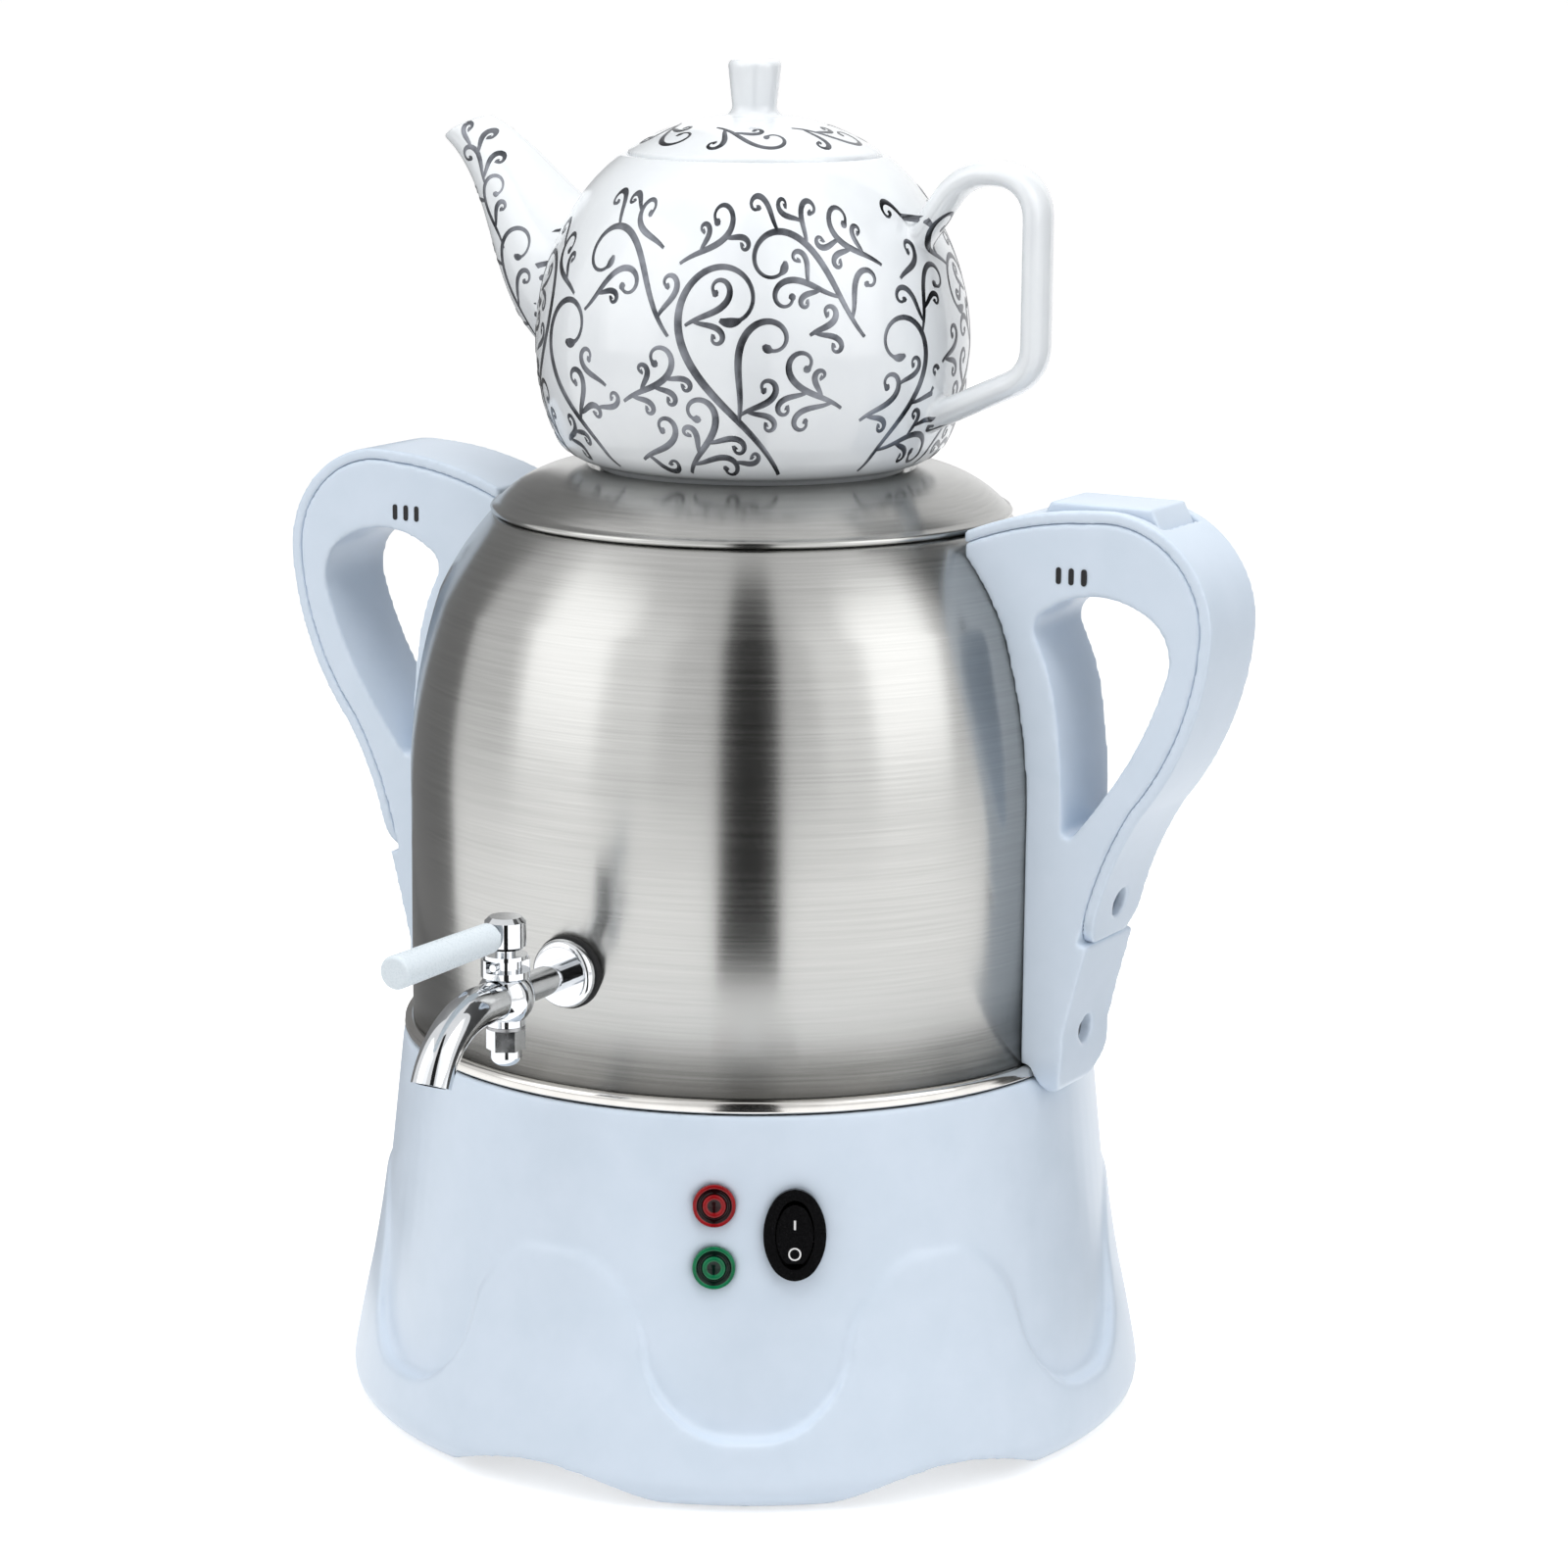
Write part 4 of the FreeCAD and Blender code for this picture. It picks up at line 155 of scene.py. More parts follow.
def brushed_stainless(name, stretch):
    """Steel sheet spun to shape and brushed round: fine level lines that smear each reflection upright.

    Real brush lines are 0.1 mm apart. They are drawn 0.6 mm apart, so that they show from a step away.
    """
    material, tree, shader = new_material(name, {
        "Metallic": 1.0, "Anisotropic": 0.85, "Anisotropic Rotation": 0.25})
    grain = fine_surface(tree, shader, 0.6, 0.0008, 0.23, 0.27, stretch)
    tinted(tree, shader, grain, "#A9A9A7", "#B4B4B2")
    return material


def polished_stainless():
    """Rolled trim, polished: a bright clear mirror with slight waviness from rolling."""
    material, tree, shader = new_material("polished_stainless", {"Metallic": 1.0})
    grain = fine_surface(tree, shader, 9.0, 0.01, 0.10, 0.17)
    tinted(tree, shader, grain, "#C9C7C3", "#D3D1CE")
    return material


def bright_chrome():
    """Chrome plate over polished brass: a hard bright mirror with a cool tint."""
    material, tree, shader = new_material("bright_chrome_plate", {"Metallic": 1.0})
    grain = fine_surface(tree, shader, 4.0, 0.006, 0.04, 0.09)
    tinted(tree, shader, grain, "#D2D5D8", "#DADCDF")
    return material


def glazed_porcelain():
    """Fired porcelain under clear glaze: pure white, slightly deep, with a sharp wet highlight."""
    material, tree, shader = new_material("glazed_white_porcelain", {
        "IOR": 1.5, "Coat Weight": 0.5, "Coat Roughness": 0.04, "Coat IOR": 1.5})
    grain = fine_surface(tree, shader, 16.0, 0.006, 0.16, 0.2)
    tinted(tree, shader, grain, "#E3E7EB", "#E8ECEF")
    return material


def fired_platinum_lustre():
    """Silver-grey lustre fired onto the glaze: a dark metal film with brighter patches where it is thicker.

    The film's patches are about 9 mm across, as a brush load leaves them.
    """
    material, tree, shader = new_material("fired_platinum_lustre", {"Metallic": 0.9, "IOR": 1.5})
    grain = fine_surface(tree, shader, 9.0, 0.004, 0.22, 0.36)
    tinted(tree, shader, grain, "#2E3136", "#85888F")
    return material


def moulded_rubber(name, low, high):
    """Moulded rubber: dull, with a fine even grain of about 0.8 mm."""
    material, tree, shader = new_material(name, {"IOR": 1.52, "Specular IOR Level": 0.35})
    grain = fine_surface(tree, shader, 0.8, 0.02, 0.62, 0.78)
    tinted(tree, shader, grain, low, high)
    return material


def moulded_nylon(name, low, high, rough_low, rough_high):
    """Moulded nylon: an even colour with a satin sheen and a fine spark-eroded grain of 0.5 mm."""
    material, tree, shader = new_material(name, {"IOR": 1.53, "Specular IOR Level": 0.2})
    grain = fine_surface(tree, shader, 0.5, 0.006, rough_low, rough_high)
    tinted(tree, shader, grain, low, high)
    return material


def moulded_lens(name, low, high):
    """Moulded polycarbonate lens, tinted through: a deep colour under a clear, slightly uneven shine. The
    same finish, near black, is the painted shade in a lamp's groove and middle.
    """
    material, tree, shader = new_material(name, {"IOR": 1.58, "Specular IOR Level": 0.2})
    grain = fine_surface(tree, shader, 3.0, 0.006, 0.12, 0.2)
    tinted(tree, shader, grain, low, high)
    return material


def cast_metal(name, low, high, rough_low, rough_high, grain_mm):
    """Bare worked metal: zinc-plated steel, cast aluminium or brass, dull between its brighter grains."""
    material, tree, shader = new_material(name, {"Metallic": 1.0})
    grain = fine_surface(tree, shader, grain_mm, 0.01, rough_low, rough_high)
    tinted(tree, shader, grain, low, high)
    return material


white_plastic = moulded_white_polypropylene()
tank_steel = brushed_stainless("brushed_stainless_tank", (0.012, 0.012, 1.0))
lid_steel = brushed_stainless("brushed_stainless_lid", (0.03, 0.03, 1.0))
trim_steel = polished_stainless()
chrome = bright_chrome()
porcelain = glazed_porcelain()
lustre = fired_platinum_lustre()
black_rubber = moulded_rubber("moulded_black_rubber", "#1B1B1C", "#262627")
white_silicone = moulded_rubber("moulded_white_silicone", "#CFCFCA", "#DADAD6")
black_nylon = moulded_nylon("moulded_black_nylon", "#060607", "#0B0B0D", 0.2, 0.28)
white_nylon = moulded_nylon("moulded_white_nylon_grip", "#DAE4EB", "#E0E9EF", 0.25, 0.32)
# Besides the real dark parts, this finish also gives the painted shade in the handles' air slots and screw
# crosses.
dark_nylon_and_shade = moulded_nylon("moulded_dark_nylon", "#1D1D1F", "#28282A", 0.4, 0.55)
white_print = moulded_nylon("moulded_white_marks", "#D6D6D6", "#E4E4E4", 0.4, 0.5)
red_lens = moulded_lens("moulded_red_lens", "#7C0A10", "#960E16")
green_lens = moulded_lens("moulded_green_lens", "#07603C", "#0A7A4C")
# A near-black tint of each lens: painted shade for its groove and its middle well.
red_lens_painted_shade = moulded_lens("moulded_red_groove", "#1C0406", "#260609")
green_lens_painted_shade = moulded_lens("moulded_green_groove", "#031A14", "#05241B")
zinc_steel = cast_metal("zinc_plated_steel", "#8F9092", "#A9AAAC", 0.25, 0.42, 1.2)
cast_aluminium = cast_metal("cast_aluminium", "#A3A4A5", "#BBBCBD", 0.38, 0.55, 1.6)
bare_brass = cast_metal("bare_brass", "#9C7A3A", "#BE9A50", 0.25, 0.4, 1.2)
red_sleeve = moulded_nylon("red_silicone_sleeve", "#7E2018", "#93271D", 0.5, 0.65)

FINISHES = {
    "base_shell": white_plastic, "base_bottom_cover": white_plastic, "rubber_feet": black_rubber,
    "bottom_cover_screws": zinc_steel, "tank_shell": tank_steel, "tank_floor": tank_steel,
    "tank_ring": trim_steel, "base_gasket": white_silicone, "heat_plate": cast_aluminium,
    "heating_element": cast_aluminium, "thermostat": black_nylon, "thermal_fuse": zinc_steel,
    "tank_studs": zinc_steel, "tank_nuts": zinc_steel, "right_handle_body": white_plastic,
    "right_handle_cover": white_plastic, "right_handle_screws": zinc_steel,
    "left_handle_body": white_plastic, "left_handle_cover": white_plastic,
    "left_handle_screws": zinc_steel, "button_pin": zinc_steel, "steam_switch": dark_nylon_and_shade,
    "boil_button": white_plastic, "tap_body": chrome, "tap_flange": chrome, "tap_seal": black_rubber,
    "tap_inner_seal": white_silicone, "tap_lock_nut": bare_brass, "tap_plug": chrome,
    "tap_lever_head": chrome, "tap_grip": white_nylon, "tap_plug_nut": chrome,
    "tap_washer": zinc_steel, "tap_cap_nut": chrome, "red_lamp_lens": red_lens,
    "green_lamp_lens": green_lens, "red_lamp_body": dark_nylon_and_shade, "green_lamp_body": dark_nylon_and_shade,
    "switch_housing": black_nylon, "rocker": black_nylon, "switch_contacts": bare_brass,
    "inlet_housing": black_nylon, "inlet_pins": bare_brass, "inlet_screws": zinc_steel,
    "lead_live": red_sleeve, "lead_earth": red_sleeve, "lead_neutral": red_sleeve,
    "lead_heater": red_sleeve, "tank_lid": lid_steel, "lid_inner_ring": lid_steel,
    "lid_seal": white_silicone, "teapot": porcelain, "teapot_lid": porcelain,
}
for node_name, finish in FINISHES.items():
    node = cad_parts[node_name]
    node.data.materials.clear()
    node.data.materials.append(finish)


# Shapes

def soften(node_name, cell_mm, rounds):
    """Rounds every edge of a moulded piece, as its mould does, on a fine even mesh."""
    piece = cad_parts[node_name]
    remesh = piece.modifiers.new("even_mesh", "REMESH")
    remesh.mode = "VOXEL"
    remesh.voxel_size = cell_mm * MM
    remesh.use_smooth_shade = True
    smooth = piece.modifiers.new("rounded", "SMOOTH")
    smooth.factor = 0.5
    smooth.iterations = rounds


def run_through(points):
    """Points in mm along lines and arcs. A point with four numbers ends an arc through its last two."""
    line = []
    for before, point in zip(points, points[1:]):
        start = Vector(before[:2])
        end = Vector(point[:2])
        if len(point) == 2:
            line.append(end)
            continue
        via = Vector(point[2:])
        a = via - start
        b = end - start
        cross = a.x * b.y - a.y * b.x
        centre = start + Vector((b.y * a.length_squared - a.y * b.length_squared,
                                 a.x * b.length_squared - b.x * a.length_squared)) / (2.0 * cross)
        first = math.atan2(start.y - centre.y, start.x - centre.x)
        last = math.atan2(end.y - centre.y, end.x - centre.x)
        middle = math.atan2(via.y - centre.y, via.x - centre.x)
        sweep = (last - first) % FULL_TURN
        if (middle - first) % FULL_TURN > sweep:
            sweep -= FULL_TURN
        radius = (start - centre).length
        steps = max(3, int(abs(sweep) * radius / 1.2) + 2)
        for k in range(1, steps + 1):
            angle = first + sweep * k / steps
            line.append(centre + Vector((math.cos(angle), math.sin(angle))) * radius)
    return [Vector(points[0][:2])] + line


def add_mesh(name, vertices, faces, finish, smooth=True):
    """A mesh piece in metres with one finish."""
    mesh = bpy.data.meshes.new(name)
    mesh.from_pydata(vertices, [], faces)
    mesh.update()
    for face in mesh.polygons:
        face.use_smooth = smooth
    piece = bpy.data.objects.new(name, mesh)
    bpy.context.scene.collection.objects.link(piece)
    mesh.materials.append(finish)
    return piece


def turned(name, profile, finish, place=None, sides=256):
    """A piece turned about an upright axis from a closed or open profile in mm."""
    rows = run_through(profile)
    place = place or Matrix.Translation(TANK_AXIS)
    vertices = []
    for point in rows:
        for k in range(sides):
            angle = FULL_TURN * k / sides
            spot = Vector((point.x * math.cos(angle), point.x * math.sin(angle), point.y)) * MM
            vertices.append(place @ spot)
    faces = []
    for row in range(len(rows) - 1):
        for k in range(sides):
            after = (k + 1) % sides
            low = row * sides
            high = low + sides
            faces.append((low + k, low + after, high + after, high + k))
    piece = add_mesh(name, vertices, faces, finish)
    clean = bmesh.new()
    clean.from_mesh(piece.data)
    bmesh.ops.remove_doubles(clean, verts=clean.verts, dist=0.01 * MM)
    bmesh.ops.recalc_face_normals(clean, faces=clean.faces)
    clean.to_mesh(piece.data)
    clean.free()
    return piece


def cone_radius(height):
    """The base cone's radius in mm at a height."""
    share = (RIM_HEIGHT - height) / (RIM_HEIGHT - CONE_FOOT_HEIGHT)
    return RIM_RADIUS + (CONE_FOOT_RADIUS - RIM_RADIUS) * share


def panel_place(x, height):
    """The place of a control on the sloping front wall, with +Z square to the wall."""
    spot = Matrix.Translation((x * MM, TANK_BACK - cone_radius(height) * MM, height * MM))
    return spot @ Matrix.Rotation(math.pi / 2.0 - WALL_TILT, 4, "X")


# Tank, lid and trim, spun from sheet

def finished(piece, body, node_name):
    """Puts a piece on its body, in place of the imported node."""
    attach(piece, body)
    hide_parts(node_name)


tank = turned("tank_sheet", [
    (TANK_RADIUS - SHEET, TANK_FOOT), (TANK_RADIUS, TANK_FOOT), (TANK_RADIUS, BELL_START),
    (86.6, 230.5, 93.6, 200.0), (72.4, 252.0, 79.9, 242.5), (70.6, NECK_TOP, 71.7, NECK_TOP - 0.15),
    (NECK_RADIUS + 0.6, NECK_TOP), (NECK_RADIUS, NECK_TOP - 0.6, NECK_RADIUS + 0.15, NECK_TOP - 0.15),
    (NECK_RADIUS, NECK_FOOT), (NECK_RADIUS + SHEET, NECK_FOOT), (NECK_RADIUS + SHEET, NECK_TOP - SHEET),
    (70.7, NECK_TOP - SHEET), (79.2, 242.1), (85.8, 230.3), (TANK_RADIUS - SHEET, BELL_START),
    (TANK_RADIUS - SHEET, TANK_FOOT)], tank_steel)
finished(tank, "base", "tank_shell")

lid = turned("lid_sheet", [
    (STEAM_HOLE_RADIUS, SEAT_HEIGHT), (43.0, SEAT_HEIGHT),
    (43.8, SEAT_HEIGHT + 0.3, 43.5, SEAT_HEIGHT + 0.05), (45.2, 265.8), (46.3, 265.9, 45.7, 266.0),
    (71.2, 254.9, 60.0, 263.0),
    (LID_RADIUS, LID_FOOT + 0.05, 72.5, 253.8), (69.0, LID_FOOT), (69.0, LID_FOOT + SHEET),
    (46.0, 265.2, 59.4, 262.3), (43.4, SEAT_HEIGHT - SHEET), (STEAM_HOLE_RADIUS, SEAT_HEIGHT - SHEET),
    (STEAM_HOLE_RADIUS, SEAT_HEIGHT)], lid_steel)
finished(lid, "lid", "tank_lid")

trim = turned("trim_ring", [
    (TANK_RADIUS + 0.05, RIM_HEIGHT + 0.05), (96.0, RIM_HEIGHT + 0.05), (97.25, 108.1, 97.0, 106.7),
    (96.0, 110.0, 96.9, 109.5), (TANK_RADIUS + 0.05, 110.0)], trim_steel)
finished(trim, "base", "tank_ring")


# Moulded and cast pieces: the cell of the even mesh in mm, and how often its edges are rounded

for name, cell, rounds in (
    ("base_shell", 1.0, 12),
    ("right_handle_body", 0.7, 8), ("left_handle_body", 0.7, 8),
    ("right_handle_cover", 0.6, 5), ("left_handle_cover", 0.6, 5),
    ("boil_button", 0.5, 6), ("teapot", 0.7, 9), ("teapot_lid", 0.6, 5),
):
    soften(name, cell, rounds)


# Pilot lamps: a stepped rim, a groove and a raised ring about a small middle. The groove and the middle are
# coloured near black as painted shade.

# Where the lens takes the painted shade: the groove between these radii in mm and the well inside this
# radius.
SHADED_GROOVE_EDGES = (3.1, 4.65)
SHADED_WELL_RADIUS = 1.75

for colour, lens_material, shade_material in (
    ("red", red_lens, red_lens_painted_shade), ("green", green_lens, green_lens_painted_shade),
):
    place = panel_place(LAMP_X, LAMP_HEIGHTS[colour])
    lens = turned(colour + "_lens", [
        (4.6, 0.05), (5.7, 0.05), (5.7, 0.9), (5.2, 1.35, 5.6, 1.25), (4.7, 1.3), (4.4, 0.5), (3.3, 0.5),
        (3.0, 1.5, 3.05, 1.3), (2.1, 1.55), (1.8, 1.1), (0.0, 1.25)], lens_material, place, 64)
    # A second slot for the painted shade in the groove and the middle well.
    lens.data.materials.append(shade_material)
    for face in lens.data.polygons:
        spot = place.inverted() @ face.center / MM
        reach = math.hypot(spot.x, spot.y)
        if SHADED_GROOVE_EDGES[0] < reach < SHADED_GROOVE_EDGES[1] or reach < SHADED_WELL_RADIUS:
            face.material_index = 1
    finished(lens, "base", colour + "_lamp_lens")


# Ornament: curling stems in lustre on the porcelain

STEM_STEP = 0.45
SHORTEST_STEM = 10.5
SIZE_TRIES = (1.0, 0.8, 0.62, 0.5)
BRANCHES = ((0.1, -1), (0.2, 1), (0.32, -1), (0.45, -1), (0.6, -1))  # where along a stem, and to which side
BRANCH_ANGLE = 0.95
BRANCH_PART = 0.6
SHORTEST_BRANCH = 14.0
THINNEST_BRANCH = 1.6
CURL = 17.5
LEAN = 2.0


def stem(x, y, heading, length, side, width):
    """A stem in mm that leans away, then closes in a spiral with a round end.

    Each point along it is x, y, half width and heading.
    """
    steps = max(36, int(length / STEM_STEP))
    step = length / steps
    line = []
    for k in range(steps + 1):
        share = k / steps
        half = width * (0.25 + 0.25 * math.sin(math.pi * min(1.0, share * 1.15)))
        ending = (share - 0.94) / 0.06
        if ending > 0.0:
            half = width * (0.26 + 0.34 * math.sin(math.pi * min(1.0, ending)))
        line.append((x, y, half, heading))
        heading += side * (CURL * share ** 1.7 - LEAN * (1.0 - share) ** 1.5) * step / length
        x += math.cos(heading) * step
        y += math.sin(heading) * step
    return line


def room_for(line, taken, inside, gap, round_mm):
    """Whether a stem lies inside its field and keeps a gap from all stems, but for where it branches off."""
    x0, y0 = line[0][:2]
    for x, y, _, _ in line:
        if not inside(x, y):
            return False
        if math.hypot(x - x0, y - y0) < gap * 2.1:
            continue
        x = x % round_mm
        column = int(x // gap)
        row = int(y // gap)
        for dx in (-1, 0, 1):
            for dy in (-1, 0, 1):
                for other_x, other_y in taken.get((column + dx, row + dy), ()):
                    if math.hypot(x - other_x, y - other_y) < gap:
                        return False
    return True


def grown(seeds, inside, gap, round_mm=1000.0):
    """Stems that branch wherever there is room.

    A seed is x, y, heading, length, side, width and how many times it may branch. round_mm is the way
    once round the piece, where the field closes on itself.
    """
    queue = list(seeds)
    lines = []
    taken = {}
    while queue:
        x, y, heading, length, side, width, branchings = queue.pop(0)
        fitting = None
        for size, way in [(length * part, way) for part in SIZE_TRIES for way in (side, -side)]:
            line = stem(x, y, heading, size, way, width)
            if size > SHORTEST_STEM and room_for(line, taken, inside, gap, round_mm):
                fitting = (line, size, way)
                break
        if fitting is None:
            continue
        line, size, way = fitting
        lines.append(line)
        for px, py, _, _ in line:
            px = px % round_mm
            taken.setdefault((int(px // gap), int(py // gap)), []).append((px, py))
        if branchings == 0:
            continue
        for share, turn in BRANCHES:
            px, py, _, onward = line[int(share * len(line))]
            way_off = onward + way * turn * BRANCH_ANGLE
            branch = max(size * BRANCH_PART, SHORTEST_BRANCH)
            thickness = max(width * 0.9, THINNEST_BRANCH)
            queue.append((px, py, way_off, branch, way * turn, thickness, branchings - 1))
    return lines


def strip_mesh(name, lines, lay):
    """A strip of lustre along each line. lay(x, y) gives the point and the normal, or None off the piece.

    Its edges lie 0.02 mm above the glaze and its middle 0.14 mm, so it catches light as a thick film does.
    """
    vertices = []
    faces = []
    for line in lines:
        last = None
        for k, (x, y, half, _) in enumerate(line):
            near = line[min(k + 1, len(line) - 1)]
            far = line[max(k - 1, 0)]
            way = Vector((near[0] - far[0], near[1] - far[1]))
            if way.length == 0.0:
                continue
            across = Vector((-way.y, way.x)).normalized() * half
            spots = [lay(x + across.x * t, y + across.y * t) for t in (1.0, 0.0, -1.0)]
            if None in spots:
                last = None
                continue
            start = len(vertices)
            for (point, normal), lift in zip(spots, (0.02, 0.14, 0.02)):
                vertices.append(point + normal * lift * MM)
            if last is not None:
                faces.append((last, last + 1, start + 1, start))
                faces.append((last + 1, last + 2, start + 2, start + 1))
            last = start
    return add_mesh(name, vertices, faces, lustre)


bpy.context.view_layer.update()
depsgraph = bpy.context.evaluated_depsgraph_get()  # with the rounding of the moulded pieces in it


def surface_of(node_name):
    """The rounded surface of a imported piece, to cast rays on."""
    return BVHTree.FromObject(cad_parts[node_name], depsgraph)


pot_surface = surface_of("teapot")
pot_lid_surface = surface_of("teapot_lid")


def cast(surface, start, way, nearest_mm, farthest_mm):
    """The point and the normal where a ray meets a surface between two distances, or None."""
    point, normal, _, reach = surface.ray_cast(start, way)
    if point is None or not nearest_mm * MM <= reach <= farthest_mm * MM:
        return None
    return point, normal


def on_belly(x, y):
    """x runs round the pot from its front, y up from its foot."""
    if not 4.0 <= y <= BELLY_HIGH:
        return None
    angle = math.radians(-90.0) + x / BELLY_RADIUS
    way = Vector((math.cos(angle), math.sin(angle), 0.0))
    start = TANK_AXIS + way * 80.0 * MM + Vector((0.0, 0.0, (POT_BASE + y) * MM))
    return cast(pot_surface, start, -way, 18.0, 40.0)


def on_spout(side):
    """The spout's flank on one side: x is the reach from the pot's axis, y the height above its foot."""
    turn = math.radians(SPOUT_TURN)
    out = Vector((math.sin(turn), -math.cos(turn), 0.0))
    across = Vector((math.cos(turn), math.sin(turn), 0.0)) * side

    def lay(x, y):
        """The point and the normal of the flank at a reach and a height."""
        start = TANK_AXIS + out * x * MM + across * 60.0 * MM + Vector((0.0, 0.0, (POT_BASE + y) * MM))
        return cast(pot_surface, start, -across, 36.0, 62.0)
    return lay


def on_pot_lid(x, y):
    """x and y are mm from the lid's middle."""
    if not 11.0 <= math.hypot(x, y) <= 32.5:
        return None
    start = TANK_AXIS + Vector((x * MM, y * MM, 0.42))
    return cast(pot_lid_surface, start, Vector((0.0, 0.0, -1.0)), 0.0, 420.0)


def decorate(name, lines, lay, body):
    """Lays stems on a piece as one ornament that rides with it."""
    piece = strip_mesh(name, lines, lay)
    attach(piece, body)


UP = math.radians(90.0)
REPEAT = 52.0  # 7 repeats go once round the belly

seeds = []
for number in range(7):
    side = 1.0 if number % 2 else -1.0
    around = 8.0 + REPEAT * number
    seeds.append((around, 5.0, UP - side * 0.5, 96.0, side, 2.2, 3))
    seeds.append((around + REPEAT / 2.0, 5.0, UP + side * 0.4, 70.0, -side, 1.9, 3))
for number in range(7):
    side = -1.0 if number % 2 else 1.0
    seeds.append((30.0 + REPEAT * number, 42.0, UP + side * 0.7, 62.0, side, 1.9, 3))
for number in range(80):
    side = 1.0 if number % 2 else -1.0
    rise = 6.0 + (number * 17.3) % 60.0
    seeds.append((23.7 * number, rise, UP + side * 0.9, 32.0, -side, 1.8, 1))
belly_lines = grown(seeds, lambda x, y: BELLY_LOW < y < BELLY_HIGH, 2.0, FULL_TURN * BELLY_RADIUS)
decorate("belly_ornament", belly_lines, on_belly, "pot")

for label, side in (("left", 1.0), ("right", -1.0)):
    spout_flank = on_spout(side)
    spout_lines = grown(
        [(61.0, 33.0, 1.2, 52.0, 1.0, 1.6, 2), (62.0, 46.0, 1.0, 40.0, -1.0, 1.5, 2),
         (66.0, 40.0, 0.9, 34.0, -1.0, 1.4, 2), (72.0, 58.0, 1.1, 34.0, 1.0, 1.4, 2)],
        lambda x, y: spout_flank(x, y) is not None, 1.9)
    decorate("spout_ornament_" + label, spout_lines, spout_flank, "pot")

seeds = []
for number in range(6):
    angle = FULL_TURN * number / 6.0
    side = 1.0 if number % 2 else -1.0
    seeds.append((20.0 * math.cos(angle), 20.0 * math.sin(angle), angle + 1.4, 34.0, side, 1.5, 2))
lid_lines = grown(seeds, lambda x, y: 11.5 < math.hypot(x, y) < 31.5, 1.9)
decorate("lid_ornament", lid_lines, on_pot_lid, "pot_lid")


# Small marks, and dark painted shade for the handles' air slots and screw crosses

def flat_mark(name, loops, place, finish, thick=0.25):
    """A thin flat shape in mm from outlines, laid at a place with +Z outward. Inner outlines are holes."""
    curve = bpy.data.curves.new(name, "CURVE")
    curve.dimensions = "2D"
    curve.fill_mode = "BOTH"
    curve.extrude = thick / 2.0 * MM
    for loop in loops:
        spline = curve.splines.new("POLY")
        spline.points.add(len(loop) - 1)
        for spot, (x, y) in zip(spline.points, loop):
            spot.co = (x * MM, y * MM, 0.0, 1.0)
        spline.use_cyclic_u = True
    piece = bpy.data.objects.new(name, curve)
    bpy.context.scene.collection.objects.link(piece)
    piece.matrix_world = place
    curve.materials.append(finish)
    return piece


def oval(half_width, half_height, count=32):
    """An upright oval of two half circles and straight sides."""
    side = half_height - half_width
    loop = []
    for k in range(count):
        angle = FULL_TURN * k / count
        lift = side if math.sin(angle) >= 0 else -side
        loop.append((half_width * math.cos(angle), half_width * math.sin(angle) + lift))
    return loop


def handle_place(turn, reach, height, across):
    """A place on a handle's flank. +X is level along it, +Y up and +Z away from the handle's middle."""
    angle = math.radians(turn)
    out = Vector((math.sin(angle), -math.cos(angle), 0.0))
    side = Vector((math.cos(angle), math.sin(angle), 0.0)) * (1.0 if across > 0 else -1.0)
    spot = TANK_AXIS + (out * reach + side * abs(across) + Vector((0.0, 0.0, height))) * MM
    level = Vector((0.0, 0.0, 1.0)).cross(side)
    return Matrix.Translation(spot) @ Matrix((level, Vector((0, 0, 1)), side)).transposed().to_4x4()


FLANK = 15.0  # mm from a handle's middle to the face that its vents are drawn on
VENT_REACHES = (102.3, 106.0, 109.7)
VENT_HEIGHT = 245.3
SCREW_PLACES = {"low": (103.13, 119.0), "high": (111.33, 155.5)}
CROSS_ARM = 1.5
CROSS_HALF = 0.4

# Dark ovals of painted shade on each flank stand for the air slots, whose depth is shaded.
for label, turn in HANDLE_TURNS.items():
    for flank, across in (("far", FLANK), ("near", -FLANK)):
        for number, reach in enumerate(VENT_REACHES):
            place = handle_place(turn, reach, VENT_HEIGHT, across)
            vent_shade = flat_mark(f"{label}_vent_{flank}_{number + 1}", [oval(0.75, 2.25)], place, dark_nylon_and_shade)
            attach(vent_shade, "base")

quarter = [(CROSS_HALF, CROSS_HALF), (CROSS_HALF, CROSS_ARM), (-CROSS_HALF, CROSS_ARM)]
cross = []
for _ in range(4):
    cross += quarter
    quarter = [(-y, x) for x, y in quarter]

# Over each handle screw, a thin dark cross of painted shade stands for the shaded cross slot in its head.
for label, turn in HANDLE_TURNS.items():
    for part, (reach, height) in SCREW_PLACES.items():
        outward = handle_place(turn, reach, height, 0.0) @ Matrix.Rotation(math.pi / 2.0, 4, "Y")
        cross_shade = flat_mark(f"{label}_{part}_screw_recess", [cross], outward, dark_nylon_and_shade, 0.08)
        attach(cross_shade, "base")

# The rocker's upper half stands level and its lower half tips out by the whole throw.
rocker_place = panel_place(ROCKER_X, ROCKER_HEIGHT)
level_face = rocker_place @ Matrix.Translation((0.0, 2.6 * MM, 1.22 * MM))
tipped_face = (rocker_place @ Matrix.Translation((0.0, -4.9 * MM, 2.57 * MM))
               @ Matrix.Rotation(-math.radians(ROCKER_THROW), 4, "X"))
bar = [(-0.28, -1.25), (0.28, -1.25), (0.28, 1.25), (-0.28, 1.25)]
bar_mark = flat_mark("on_mark", [bar], level_face, white_print, 0.1)
ring_mark = flat_mark("off_mark", [oval(1.7, 1.71), oval(1.3, 1.31)], tipped_face, white_print, 0.1)
for mark in (bar_mark, ring_mark):
    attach(mark, "rocker")


# Studio

FLOOR_REACH = 40.0
SEEN_FLOOR_GLOW = 0.62
WORLD_LIGHT = 0.36


